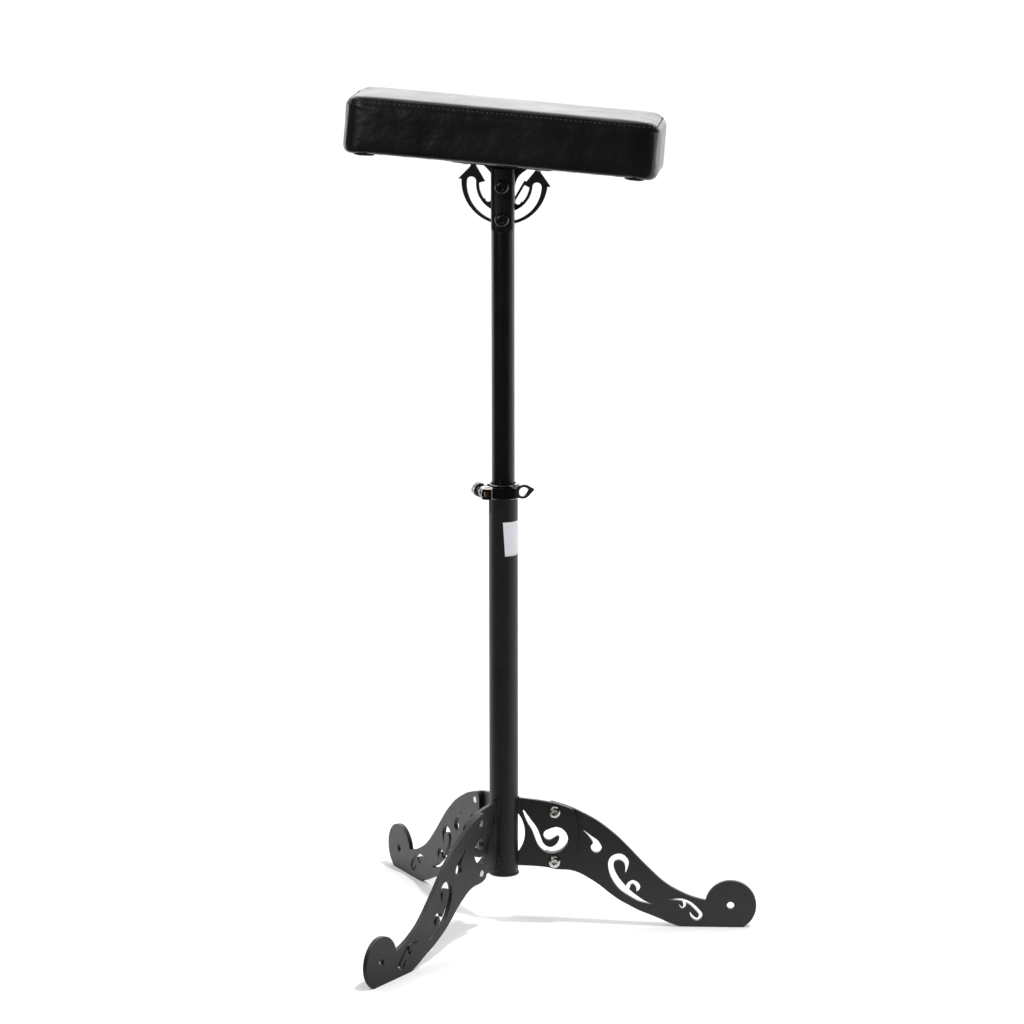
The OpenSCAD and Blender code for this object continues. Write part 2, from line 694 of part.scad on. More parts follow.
module post() {
    post_low = tube_top + post_out - post_l - pivot_z;
    color("#1b1b1d") at_head() difference() {
        intersection() {
            translate([0, 0, post_low]) cylinder(r = post_r, h = post_l);
            rotate([0, 0, 90]) upright(-post_od, 2 * post_od) post_side(0);
        }
        intersection() {
            translate([0, 0, post_low - overrun])
                cylinder(r = post_bore_r, h = post_l + 2 * overrun);
            rotate([0, 0, 90]) upright(-post_od, 2 * post_od) post_side(post_wall);
        }
        for (z = [0, -slot_r]) translate([0, 0, z]) along_y(-post_od)
            cylinder(r = tilt_bolt_r + hole_fit, h = 2 * post_od);
    }
}

module tilt_bolt(end_y) {
    along_y(-flat_y) cylinder(r = tilt_bolt_r, h = flat_y + end_y);
    along_y(-flat_y) mirror([0, 0, 1]) domed_head(tilt_head_d, tilt_head_h);
}

module pivot_bolt() {
    color("#19191b") at_head() tilt_bolt(nut_y + nut_h + overrun);
}

module lock_bolt() {
    color("#19191b") at_lock() tilt_bolt(nut_y + hub_h * 0.75);
}

module friction_washers() {
    color("#2e2e30") for (z = [0, -slot_r]) at_head() translate([0, 0, z])
        along_y(flat_y) washer(friction_d, tilt_bolt_r + hole_fit, friction_t);
}

module steel_washers() {
    color("#9a9a9d") for (z = [0, -slot_r]) at_head() translate([0, 0, z])
        along_y(back_y) washer(washer_d, tilt_bolt_r + hole_fit, washer_t);
}

module pivot_nut() {
    crown_h = nut_h * 0.25;
    color("#8c8c8f") at_head() along_y(nut_y) difference() {
        union() {
            cylinder(d = nut_w / cos(30), h = nut_h - crown_h, $fn = 6);
            cylinder(d = nut_w * 0.9, h = nut_h);
        }
        translate([0, 0, -overrun])
            cylinder(r = tilt_bolt_r + thread_fit, h = nut_h + 2 * overrun);
    }
}

module lock_handle() {
    boss_d = hub_d * 0.82;
    boss_h = hub_h * 0.3;
    color("#171719") at_lock() difference() {
        union() {
            along_y(nut_y) cylinder(d = boss_d, h = boss_h);
            along_y(nut_y + boss_h) cylinder(d = hub_d, h = hub_h - boss_h);
            rotate([0, -handle_turn, 0]) {
                translate([0, nut_y + hub_h - handle_w, -handle_t / 2])
                    cube([handle_l - handle_w / 2, handle_w, handle_t]);
                translate([handle_l - handle_w / 2, nut_y + hub_h - handle_w / 2, -handle_t / 2])
                    cylinder(d = handle_w, h = handle_t);
            }
        }
        along_y(nut_y - overrun) cylinder(r = tilt_bolt_r + thread_fit, h = hub_h * 0.85 + overrun);
    }
}

// The slot's band about the pivot, closed by round ends at the pivot's height
module slot_outline() {
    difference() {
        circle(r = slot_r + slot_w / 2);
        circle(r = slot_r - slot_w / 2);
        translate([-2 * slot_r, 0]) square([4 * slot_r, 2 * slot_r]);
    }
    for (s = [-1, 1]) translate([s * slot_r, 0]) circle(d = slot_w);
}

// The ring and its rib below the arrow heads. Webs below two openings with round lower ends carry it
// on the neck.
module ring_outline() {
    eye = on_tilt(web_eye_shares);
    difference() {
        translate([0, ring_rise]) circle(r = ring_r);
        translate([-2 * ring_r, barb_z_share * tilt_step]) square([4 * ring_r, 2 * ring_r]);
        intersection() {
            circle(r = rib_r);
            translate([-rib_r, web_z_share * tilt_step]) square([2 * rib_r, 2 * rib_r]);
        }
        for (s = [-1, 1]) translate([s * eye.x, eye.y]) circle(r = web_eye_r_share * tilt_step);
    }
}

module half_outline() {
    polygon(on_tilt(arrow_shares));
    polygon(concat([[0, neck_shares[0].y * tilt_step]], curve(on_tilt(neck_shares)),
        [[0, mount_rise]]));
}

module tilt_plate() {
    color("#18181a") at_tilt() difference() {
        upright(plate_y, tilt_plate_t) difference() {
            union() {
                ring_outline();
                half_outline();
                mirror([1, 0]) half_outline();
            }
            slot_outline();
        }
        along_y(plate_y - overrun)
            cylinder(r = tilt_bolt_r + run_fit, h = tilt_plate_t + 2 * overrun);
    }
}

module mount_plate() {
    color("#18181a") at_tilt() difference() {
        translate([0, 0, mount_rise]) linear_extrude(mount_t)
            rounded_plate(mount_l, mount_w, mount_corner);
        at_screws() translate([0, 0, -overrun])
            cylinder(d = screw_d + 2 * hole_fit, h = mount_t + 2 * overrun);
    }
}

module mount_screws() {
    color("#a7a7aa") at_tilt() at_screws() {
        cylinder(d = screw_d, h = screw_l);
        mirror([0, 0, 1]) domed_head(screw_head_d, screw_head_h);
    }
}

module pad_board() {
    board_in = cover_t + soft_gap + pad_draw + cover_t;
    color("#b08d5b") difference() {
        at_pad() translate([0, 0, cover_t]) linear_extrude(board_t)
            rounded_plate(pad_l - 2 * board_in, pad_w - 2 * board_in, pad_corner - board_in);
        at_tilt() at_screws() cylinder(d = screw_d + 2 * thread_fit, h = screw_l + overrun);
    }
}

// One ring of the pad's skin: a rounded outline whose sides draw in between the corners
function skin_ring(inset, z, draw) = [for (k = [0:3])
    let (
        r = max(pad_corner - inset, cover_t),
        l = pad_l / 2 - inset - r,
        w = pad_w / 2 - inset - r,
        here = [k == 0 || k == 3 ? l : -l, k < 2 ? w : -w],
        next = [k < 2 ? -l : l, k == 0 || k == 3 ? w : -w],
        out = [cos(90 * (k + 1)), sin(90 * (k + 1))],
        count = k % 2 == 0 ? long_count : short_count)
    each concat(
        [for (j = [0:corner_count - 1]) let (a = 90 * (k + j / (corner_count - 1)))
            [here.x + r * cos(a), here.y + r * sin(a), z]],
        [for (j = [1:count]) let (t = j / (count + 1), p = here + (next - here) * t
            + out * (r - draw * 4 * t * (1 - t))) [p.x, p.y, z]])];

// Rows of the skin's section, moved in by d along the section's own normal
function skin_row(i) = [skin_shares[i].x * pad_w, skin_shares[i].y * pad_h];
function skin_turn(i) = let (d = i == skin_rows - 1 ? skin_row(i) - skin_row(i - 1)
    : i == 0 ? skin_row(1) - [cover_hem, 0] : skin_row(i + 1) - skin_row(i - 1)) d / norm(d);
function skin_in(i, d) = skin_row(i) + d * [skin_turn(i).y, -skin_turn(i).x];
function skin_rings(first, d) = [for (i = [first:skin_rows - 1]) let (p = skin_in(i, d))
    skin_ring(p.x, p.y, skin_shares[i].z * pad_draw)];

// Triangles between two neighbouring rings, and from a ring to a single point
function band_faces(a, b) = [for (i = [0:ring_count - 1]) let (j = (i + 1) % ring_count)
    each [[a + i, b + i, a + j], [a + j, b + i, b + j]]];
function fan_faces(a, tip) = [for (i = [0:ring_count - 1]) [a + i, tip, a + (i + 1) % ring_count]];
function flipped(faces) = [for (f = faces) [f[0], f[2], f[1]]];
function stack_faces(first, count) = [for (k = [0:count - 2])
    each band_faces((first + k) * ring_count, (first + k + 1) * ring_count)];

module pad_cover() {
    outer = concat([skin_ring(cover_hem, 0, 0)], skin_rings(0, 0));
    inner = concat([skin_ring(cover_hem, cover_t, 0)], skin_rings(0, cover_t));
    rows = len(outer);
    tips = [[0, 0, pad_h], [0, 0, pad_h - cover_t]];
    points = concat([for (r = outer) each r], [for (r = inner) each r], tips);
    tip = 2 * rows * ring_count;
    faces = concat(stack_faces(0, rows), fan_faces((rows - 1) * ring_count, tip),
        flipped(stack_faces(rows, rows)), flipped(fan_faces((2 * rows - 1) * ring_count, tip + 1)),
        flipped(band_faces(0, rows * ring_count)));
    color("#0f0f11") at_pad() polyhedron(points, faces);
}

module pad_foam() {
    low = cover_t + board_t;
    inset = cover_t + soft_gap;
    base = skin_ring(skin_in(skin_low_row, inset).x, low, skin_shares[skin_low_row].z * pad_draw);
    rings = concat([base], skin_rings(skin_low_row, inset));
    rows = len(rings);
    tip = rows * ring_count;
    points = concat([for (r = rings) each r], [[0, 0, pad_h - inset], [0, 0, low]]);
    faces = concat(stack_faces(0, rows), fan_faces((rows - 1) * ring_count, tip),
        flipped(fan_faces(0, tip + 1)));
    color("#d9cfae") at_pad() polyhedron(points, faces);
}

module pad_underside() {
    inset = cover_hem + soft_gap;
    color("#202022") difference() {
        at_pad() linear_extrude(cover_t)
            rounded_plate(pad_l - 2 * inset, pad_w - 2 * inset, pad_corner - inset);
        at_tilt() at_screws() translate([0, 0, mount_t - overrun])
            cylinder(d = screw_d + 2 * hole_fit, h = cover_t + 2 * overrun);
    }
}

outer_tube();
tube_end_cap();
leg_bracket(0);  // leg_bracket_1
leg_bracket(1);  // leg_bracket_2
leg_bracket(2);  // leg_bracket_3
leg(0);  // leg_1
leg(1);  // leg_2
leg(2);  // leg_3
leg_bolts();
reducer_bush();
tube_label();
clamp_band();
clamp_skewer();
clamp_barrel();
clamp_saddle();
clamp_nut();
clamp_lever();
guide_plug();
post();
pivot_bolt();
lock_bolt();
friction_washers();
steel_washers();
pivot_nut();
lock_handle();
tilt_plate();
mount_plate();
mount_screws();
pad_board();
pad_foam();
pad_cover();
pad_underside();
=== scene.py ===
import json
from math import cos, pi, radians, sin, tanh, tau

import bmesh
import bpy
from mathutils import Matrix, Vector, noise
from mathutils.bvhtree import BVHTree


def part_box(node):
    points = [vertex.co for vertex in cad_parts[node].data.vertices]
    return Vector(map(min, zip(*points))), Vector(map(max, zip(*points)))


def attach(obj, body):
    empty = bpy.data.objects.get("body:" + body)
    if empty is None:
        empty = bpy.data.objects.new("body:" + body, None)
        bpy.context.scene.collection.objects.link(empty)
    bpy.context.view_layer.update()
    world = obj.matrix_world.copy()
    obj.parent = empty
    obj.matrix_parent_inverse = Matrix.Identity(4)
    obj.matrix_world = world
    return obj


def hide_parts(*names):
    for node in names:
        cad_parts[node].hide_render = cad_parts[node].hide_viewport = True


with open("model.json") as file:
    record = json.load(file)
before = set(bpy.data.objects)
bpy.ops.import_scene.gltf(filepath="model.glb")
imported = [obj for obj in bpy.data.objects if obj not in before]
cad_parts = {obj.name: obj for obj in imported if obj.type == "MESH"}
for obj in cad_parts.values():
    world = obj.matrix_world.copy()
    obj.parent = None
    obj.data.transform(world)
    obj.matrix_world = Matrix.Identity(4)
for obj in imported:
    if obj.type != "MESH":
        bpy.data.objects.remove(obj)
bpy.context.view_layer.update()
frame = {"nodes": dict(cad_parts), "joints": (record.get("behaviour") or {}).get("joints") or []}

# Camera
# A long lens 4.7 m from the stand and half a metre above its pad, looking a little down, turned a
# few degrees off the first leg so that the leg on the right is seen flat on.
photo_width_px = 1024
focal_length_px = 4396.5
camera_distance = 4.7007
camera_height = 1.4595
camera_turn = radians(2.80)
camera_pan = 0.0019
camera_pitch = 0.2075
camera_roll = 0.0013
frame_shift_px = (0.5, 0.5)

camera = bpy.data.objects.new("camera", bpy.data.cameras.new("camera"))
bpy.context.scene.collection.objects.link(camera)
bpy.context.scene.camera = camera
camera.data.sensor_width = 36
camera.data.lens = focal_length_px / photo_width_px * camera.data.sensor_width
camera.data.shift_x = frame_shift_px[0] / photo_width_px
camera.data.shift_y = frame_shift_px[1] / photo_width_px
camera.matrix_world = (
    Matrix.Rotation(camera_turn, 4, "Z")
    @ Matrix.Translation((0, -camera_distance, camera_height))
    @ Matrix.Rotation(-camera_pan, 4, "Z")
    @ Matrix.Rotation(pi / 2 - camera_pitch, 4, "X")
    @ Matrix.Rotation(-camera_roll, 4, "Z")
)

# Studio floor and light
# A white sweep under one small lamp, which casts the legs' faint shadows, and soft boxes. Gloss sees
# the room white low behind the stand on the right, lit high behind it on the left and dim elsewhere,
# so that black paint stays black up to its rims.
floor_reach = 30.0
floor_white = (0.9, 0.9, 0.9, 1)
floor_painted_shade_in_gloss = 0.014
floor_fades_over = (-0.45, 0.0)
room_white = 1.12
room_fill = 0.8
room_back = 1.45
room_dim = 0.02
room_overhead = 0.95
lit_side = Vector((0.3, 0.93, 0.2)).normalized()
lit_edge = (0.66, 0.95)
overhead_side = Vector((-0.4, 0.52, 0.75)).normalized()
overhead_edge = (0.35, 0.95)
soft_boxes_aim = Vector((0, 0, 0.4))
lamp_side = Vector((0.3, -0.2, 1))
lamp_angle = radians(3.5)
lamp_power = 1.35


def new_material(name):
    """A node material with its node tree and its Principled shader."""
    material = bpy.data.materials.new(name)
    material.use_nodes = True
    tree = material.node_tree
    return material, tree, tree.nodes["Principled BSDF"]


def feed(tree, socket, value):
    """Links a socket to an input, or sets the input to a plain value."""
    if isinstance(value, bpy.types.NodeSocket):
        tree.links.new(value, socket)
    else:
        socket.default_value = value


def map_range(tree, value, low, high, to_low, to_high, interpolation="LINEAR"):
    """A value mapped from one range to another."""
    node = tree.nodes.new("ShaderNodeMapRange")
    node.interpolation_type = interpolation
    for label, number in zip(("From Min", "From Max", "To Min", "To Max"), (low, high, to_low, to_high)):
        node.inputs[label].default_value = number
    tree.links.new(value, node.inputs["Value"])
    return node.outputs["Result"]


def maths(tree, operation, a, b):
    """A math node on sockets or plain numbers."""
    node = tree.nodes.new("ShaderNodeMath")
    node.operation = operation
    feed(tree, node.inputs[0], a)
    feed(tree, node.inputs[1], b)
    return node.outputs["Value"]


def mixed(tree, factor, a, b, kind="RGBA"):
    """A colour, or a number, between a and b, by a factor socket."""
    node = tree.nodes.new("ShaderNodeMix")
    node.data_type = kind
    feed(tree, node.inputs["Factor"], factor)
    feed(tree, node.inputs["A"], a)
    feed(tree, node.inputs["B"], b)
    return node.outputs["Result"]


def share_towards(tree, vector, side):
    """How far a vector socket points to one side."""
    node = tree.nodes.new("ShaderNodeVectorMath")
    node.operation = "DOT_PRODUCT"
    node.inputs[1].default_value = side
    tree.links.new(vector, node.inputs[0])
    return node.outputs["Value"]


def add_piece(name, mesh, material, smooth_angle=radians(35)):
    """Turns a finished bmesh into a scene object at the origin, smooth between its sharp edges."""
    data = bpy.data.meshes.new(name)
    mesh.to_mesh(data)
    mesh.free()
    data.materials.append(material)
    data.shade_smooth()
    data.set_sharp_from_angle(angle=smooth_angle)
    piece = bpy.data.objects.new(name, data)
    bpy.context.scene.collection.objects.link(piece)
    return piece


floor_paint, tree, shader = new_material("studio_floor_paint")
shader.inputs["Roughness"].default_value = 0.9
shader.inputs["Specular IOR Level"].default_value = 0.1
place = tree.nodes.new("ShaderNodeTexCoord").outputs["Object"]
# In reflections the floor is painted dark towards the front, a painted shade standing in for the dim room on
# that side; camera and other rays see it evenly white.
in_gloss = map_range(tree, share_towards(tree, place, lit_side), *floor_fades_over,
                     floor_painted_shade_in_gloss, floor_white[0])
is_gloss = tree.nodes.new("ShaderNodeLightPath").outputs["Is Glossy Ray"]
tree.links.new(mixed(tree, is_gloss, floor_white, in_gloss), shader.inputs["Base Color"])
floor_mesh = bmesh.new()
bmesh.ops.create_grid(floor_mesh, x_segments=1, y_segments=1, size=floor_reach)
floor = add_piece("studio_floor", floor_mesh, floor_paint)

world = bpy.data.worlds.new("studio_room")
bpy.context.scene.world = world
world.use_nodes = True
room = world.node_tree
direction = room.nodes.new("ShaderNodeTexCoord").outputs["Generated"]
ray = room.nodes.new("ShaderNodeLightPath").outputs
behind = map_range(room, share_towards(room, direction, lit_side), *lit_edge, room_dim, room_back,
                   "SMOOTHSTEP")
above = map_range(room, share_towards(room, direction, overhead_side), *overhead_edge, 0, room_overhead,
                  "SMOOTHSTEP")
plain = mixed(room, ray["Is Camera Ray"], room_fill, room_white, "FLOAT")
strength = mixed(room, ray["Is Glossy Ray"], plain, maths(room, "ADD", behind, above), "FLOAT")
room.links.new(strength, room.nodes["Background"].inputs["Strength"])
room.nodes["Background"].inputs["Color"].default_value = (1, 1, 1, 1)

for name, place, size, power in (
    ("overhead_left_soft_box", (-1.6, 0.3, 2.9), 1.0, 10),
    ("overhead_right_soft_box", (1.5, 0.1, 2.9), 0.9, 7),
    ("front_soft_box", (0.5, -2.4, 3.4), 1.0, 2),
    ("left_front_soft_box", (-0.95, -1.5, 1.15), 0.55, 3),
    ("left_soft_box", (-2.5, 1.5, 0.6), 1.0, 6),
    ("right_soft_box", (2.5, 1.5, 0.5), 1.0, 6),
):
    light = bpy.data.objects.new(name, bpy.data.lights.new(name, "AREA"))
    light.data.size = size
    light.data.energy = power
    light.location = place
    light.rotation_euler = (soft_boxes_aim - light.location).to_track_quat("-Z", "Y").to_euler()
    bpy.context.scene.collection.objects.link(light)
lamp = bpy.data.objects.new("small_lamp", bpy.data.lights.new("small_lamp", "SUN"))
lamp.data.angle = lamp_angle
lamp.data.energy = lamp_power
lamp.rotation_euler = lamp_side.to_track_quat("Z", "Y").to_euler()
lamp.visible_glossy = False
bpy.context.scene.collection.objects.link(lamp)
lamp_shadows = bpy.data.collections.new("legs_that_shade_the_lamp")
lamp.light_linking.blocker_collection = lamp_shadows

bpy.context.scene.view_settings.view_transform = "Standard"

# Outer tube
# A welded steel tube, 31.8 mm across, that carries the legs at its foot and the clamp at its top.
# It has a satin black powder coat, whose skin is very slightly uneven.
satin_black = (0.0100, 0.0097, 0.0101, 1)
coat_roughness = 0.42


def shader_group(name, inputs, outputs):
    """An empty shader node group with the given sockets, and its input and output nodes."""
    group = bpy.data.node_groups.new(name, "ShaderNodeTree")
    for label, kind, value in inputs:
        socket = group.interface.new_socket(label, in_out="INPUT", socket_type=kind)
        if value is not None:
            socket.default_value = value
    for label, kind in outputs:
        group.interface.new_socket(label, in_out="OUTPUT", socket_type=kind)
    return group, group.nodes.new("NodeGroupInput"), group.nodes.new("NodeGroupOutput")


def noise_node(tree, coordinates, scale, detail=2.0, roughness=0.5):
    """A noise texture on given coordinates."""
    grain = tree.nodes.new("ShaderNodeTexNoise")
    grain.inputs["Detail"].default_value = detail
    grain.inputs["Roughness"].default_value = roughness
    feed(tree, grain.inputs["Scale"], scale)
    tree.links.new(coordinates, grain.inputs["Vector"])
    return grain.outputs["Fac"]


def bump(tree, height, strength, depth, normal=None):
    """The normal of a surface with a height on it, in metres of depth."""
    node = tree.nodes.new("ShaderNodeBump")
    node.inputs["Strength"].default_value = strength
    node.inputs["Distance"].default_value = depth
    tree.links.new(height, node.inputs["Height"])
    if normal is not None:
        tree.links.new(normal, node.inputs["Normal"])
    return node.outputs["Normal"]


coat_grain, grain_in, grain_out = shader_group(
    "coat_grain",
    [("Vector", "NodeSocketVector", None), ("Peel scale", "NodeSocketFloat", 420.0),
     ("Mottle scale", "NodeSocketFloat", 45.0)],
    [("Height", "NodeSocketFloat"), ("Mottle", "NodeSocketFloat"), ("Specks", "NodeSocketFloat")],
)
peel = noise_node(coat_grain, grain_in.outputs["Vector"], grain_in.outputs["Peel scale"], 3.0)
mottle = noise_node(coat_grain, grain_in.outputs["Vector"], grain_in.outputs["Mottle scale"], 4.0, 0.6)
speck_cells = coat_grain.nodes.new("ShaderNodeTexVoronoi")
speck_cells.inputs["Scale"].default_value = 260.0
coat_grain.links.new(grain_in.outputs["Vector"], speck_cells.inputs["Vector"])
specks = map_range(coat_grain, speck_cells.outputs["Distance"], 0.05, 0.12, 1.0, 0.0)
coat_grain.links.new(peel, grain_out.inputs["Height"])
coat_grain.links.new(mottle, grain_out.inputs["Mottle"])
coat_grain.links.new(specks, grain_out.inputs["Specks"])

rubbed_edges, rubbed_in, rubbed_out = shader_group(
    "rubbed_edges",
    [("Vector", "NodeSocketVector", None), ("Radius", "NodeSocketFloat", 0.0008),
     ("Patch scale", "NodeSocketFloat", 60.0)],
    [("Mask", "NodeSocketFloat")],
)
edge_round = rubbed_edges.nodes.new("ShaderNodeBevel")
edge_round.samples = 4
edge_true = rubbed_edges.nodes.new("ShaderNodeNewGeometry")
edge_dot = rubbed_edges.nodes.new("ShaderNodeVectorMath")
edge_dot.operation = "DOT_PRODUCT"
rubbed_edges.links.new(rubbed_in.outputs["Radius"], edge_round.inputs["Radius"])
rubbed_edges.links.new(edge_round.outputs["Normal"], edge_dot.inputs[0])
rubbed_edges.links.new(edge_true.outputs["Normal"], edge_dot.inputs[1])
edge_amount = map_range(rubbed_edges, edge_dot.outputs["Value"], 0.99, 0.8, 0.0, 1.0)
edge_patches = map_range(
    rubbed_edges,
    noise_node(rubbed_edges, rubbed_in.outputs["Vector"], rubbed_in.outputs["Patch scale"], 5.0, 0.65),
    0.42, 0.62, 0.15, 1.0,
)
rubbed_edges.links.new(maths(rubbed_edges, "MULTIPLY", edge_amount, edge_patches), rubbed_out.inputs["Mask"])


def use_group(tree, group, vector, **values):
    """Places a node group in a material with its own values."""
    node = tree.nodes.new("ShaderNodeGroup")
    node.node_tree = group
    tree.links.new(vector, node.inputs["Vector"])
    for label, value in values.items():
        node.inputs[label.replace("_", " ").capitalize()].default_value = value
    return node


def toned(colour, share):
    """A colour made darker or lighter."""
    return [channel * share for channel in colour[:3]] + [1]


def coated_metal(name, colour, roughness, peel_scale=420.0, peel_strength=0.12, edge_radius=0.0008,
                 edge_colour=(0.05, 0.05, 0.052, 1), speck_colour=(0.03, 0.03, 0.032, 1), gloss=0.5):
    """Painted or oxidised metal: an uneven skin, faint specks, and edges where the coat is thin."""
    material, tree, shader = new_material(name)
    shader.inputs["Specular IOR Level"].default_value = gloss
    place = tree.nodes.new("ShaderNodeTexCoord").outputs["Object"]
    grain = use_group(tree, coat_grain, place, peel_scale=peel_scale)
    edges = use_group(tree, rubbed_edges, place, radius=edge_radius)
    body = mixed(tree, grain.outputs["Mottle"], toned(colour, 0.72), toned(colour, 1.28))
    flecked = mixed(tree, maths(tree, "MULTIPLY", grain.outputs["Specks"], 0.5), body, speck_colour)
    worn = mixed(tree, maths(tree, "MULTIPLY", edges.outputs["Mask"], 0.55), flecked, edge_colour)
    tree.links.new(worn, shader.inputs["Base Color"])
    tree.links.new(
        map_range(tree, grain.outputs["Mottle"], 0.25, 0.75, roughness - 0.05, roughness + 0.05),
        shader.inputs["Roughness"],
    )
    tree.links.new(bump(tree, grain.outputs["Height"], peel_strength, 0.0004), shader.inputs["Normal"])
    return material


def eased_copy(node, name, material, edge, flat_axis=None, segments=2):
    """A copy of a CAD node's shape with eased edges, which stands for the node.

    With a flat axis, only the rims of the faces square to that axis are eased, as on cut plate."""
    mesh = bmesh.new()
    mesh.from_mesh(frame["nodes"][node].data)
    for layer in list(mesh.loops.layers.float_vector.values()):
        mesh.loops.layers.float_vector.remove(layer)
    bmesh.ops.remove_doubles(mesh, verts=mesh.verts, dist=3e-6)
    bmesh.ops.dissolve_limit(mesh, angle_limit=radians(0.5), verts=mesh.verts, edges=mesh.edges)
    weights = mesh.edges.layers.float.new("bevel_weight_edge")
    for line in mesh.edges:
        if len(line.link_faces) != 2 or line.calc_face_angle() < radians(28):
            continue
        turned = [abs(face.normal.dot(flat_axis)) if flat_axis else 0.0 for face in line.link_faces]
        if flat_axis is None or (max(turned) > 0.99 and min(turned) < 0.5):
            line[weights] = 1.0
    piece = add_piece(name, mesh, material, radians(28))
    if "custom_normal" in piece.data.attributes:
        piece.data.attributes.remove(piece.data.attributes["custom_normal"])
    easing = piece.modifiers.new("eased edges", "BEVEL")
    easing.limit_method = "WEIGHT"
    easing.width = edge
    easing.segments = segments
    easing.use_clamp_overlap = True
    easing.harden_normals = False
    flats = piece.modifiers.new("flat faces stay flat", "WEIGHTED_NORMAL")
    flats.keep_sharp = True
    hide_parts(node)
    return piece


tube_paint = coated_metal("tube_powder_coat", satin_black, coat_roughness, gloss=0.33)
outer_tube = eased_copy("outer_tube", "outer_tube_coated", tube_paint, 0.0003)
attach(outer_tube, "stand")

# Tube end cap
# A black nylon plug pressed into the tube's lower end, with a rim as wide as the tube's edge.
nylon_black = (0.016, 0.016, 0.017, 1)


def grained(name, dark, light, roughness, peel_scale, mottle_scale, peel_strength, peel_depth):
    """A material with a fine grain whose colour, and roughness if a pair is given, vary in patches."""
    material, tree, shader = new_material(name)
    place = tree.nodes.new("ShaderNodeTexCoord").outputs["Object"]
    grain = use_group(tree, coat_grain, place, peel_scale=peel_scale, mottle_scale=mottle_scale)
    patches = grain.outputs["Mottle"]
    tree.links.new(mixed(tree, patches, dark, light), shader.inputs["Base Color"])
    if isinstance(roughness, tuple):
        roughness = map_range(tree, patches, 0.3, 0.7, *roughness)
    feed(tree, shader.inputs["Roughness"], roughness)
    tree.links.new(bump(tree, grain.outputs["Height"], peel_strength, peel_depth), shader.inputs["Normal"])
    return material, tree, shader


nylon = grained("moulded_black_nylon", toned(nylon_black, 0.8), toned(nylon_black, 1.25), (0.44, 0.56),
                1600.0, 90.0, 0.25, 0.0002)[0]
end_cap = eased_copy("tube_end_cap", "tube_end_cap_moulded", nylon, 0.0003)
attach(end_cap, "stand")

# Leg brackets and their welds
# Three 5 mm plates cut by laser, welded upright to the tube above and below a half-moon gap, and
# coated with it. Each weld is a short lumpy bead in the corner between plate and tube.
plate_black = (0.0070, 0.0068, 0.0073, 1)
plate_thickness = 0.005
tube_radius = 0.0159
leg_turns = [radians(turn) for turn in (0, 120, 240)]
weld_radius = 0.0019
weld_off_plate = 0.0002
weld_off_tube = 0.0003
weld_spans = ((0.0722, 0.0848), (0.1305, 0.1485))
weld_ripples_per_metre = 780

plate_paint = coated_metal("plate_powder_coat", plate_black, 0.4, peel_scale=520.0, peel_strength=0.16,
                           edge_radius=0.0007)
for number, turn in enumerate(leg_turns, 1):
    across = Vector((-sin(turn), cos(turn), 0))
    bracket = eased_copy(f"leg_bracket_{number}", f"leg_bracket_{number}_plate", plate_paint, 0.00035, across)
    lamp_shadows.objects.link(bracket)
    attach(bracket, "stand")


def repeated(mesh, places):
    """One bmesh with a copy of a given one at each place. The given one is used up."""
    template = bpy.data.meshes.new("template")
    mesh.to_mesh(template)
    mesh.free()
    whole = bmesh.new()
    for place in places:
        before = len(whole.verts)
        whole.from_mesh(template)
        whole.verts.ensure_lookup_table()
        bmesh.ops.transform(whole, matrix=place, verts=whole.verts[before:])
    bpy.data.meshes.remove(template)
    return whole


def weld_bead(length):
    """A bead along Z, thin at its ends, with the ripples that the weld pool leaves."""
    mesh = bmesh.new()
    bmesh.ops.create_cone(mesh, cap_ends=True, segments=12, radius1=weld_radius, radius2=weld_radius,
                          depth=length)
    rings = max(8, int(length * weld_ripples_per_metre * 2))
    for step in range(1, rings):
        level = -length / 2 + length * step / rings
        whole = mesh.verts[:] + mesh.edges[:] + mesh.faces[:]
        bmesh.ops.bisect_plane(mesh, geom=whole, plane_co=(0, 0, level), plane_no=(0, 0, 1))
    for vert in mesh.verts:
        along = vert.co.z / length
        ripple = 0.1 * abs(sin(vert.co.z * weld_ripples_per_metre * pi))
        taper = (1 - (2 * along) ** 4) ** 0.5 * 0.75 + 0.25 if abs(along) < 0.5 else 0.3
        swell = taper * (0.92 + ripple + 0.12 * noise.noise(vert.co * 300))
        vert.co.x *= swell
        vert.co.y *= swell
    bmesh.ops.recalc_face_normals(mesh, faces=mesh.faces)
    return mesh


welds = bmesh.new()
for low, high in weld_spans:
    corner = Vector(((tube_radius ** 2 - (plate_thickness / 2) ** 2) ** 0.5 + weld_off_tube,
                     plate_thickness / 2 + weld_off_plate, (low + high) / 2))
    places = [Matrix.Rotation(turn, 4, "Z") @ Matrix.Translation((corner.x, side * corner.y, corner.z))
              for turn in leg_turns for side in (-1, 1)]
    span = repeated(weld_bead(high - low), places)
    carrier = bpy.data.meshes.new("carrier")
    span.to_mesh(carrier)
    span.free()
    welds.from_mesh(carrier)
    bpy.data.meshes.remove(carrier)
weld_beads = add_piece("bracket_weld_beads", welds, tube_paint, radians(60))
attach(weld_beads, "stand")

# Legs
# Three legs of the same 5 mm plate, cut by laser to a bowed outline with scrolls through it and a
# round foot, each laid against its bracket and coated before it is bolted on.
for number, turn in enumerate(leg_turns, 1):
    across = Vector((-sin(turn), cos(turn), 0))
    leg = eased_copy(f"leg_{number}", f"leg_{number}_plate", plate_paint, 0.0004, across)
    lamp_shadows.objects.link(leg)
    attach(leg, "stand")

# Leg bolts
# Six M8 button-head screws with hexagon sockets, bright nickel plated, that go through a bracket
# into the tapped leg plate and end flush with its far face.
bolt_radius = 0.004
bolt_head_radius = 0.007
bolt_head_height = 0.0044
bolt_socket_radius = 0.0026
bolt_length = 0.01
bolt_places = ((0.0564, 0.1318), (0.0564, 0.075))


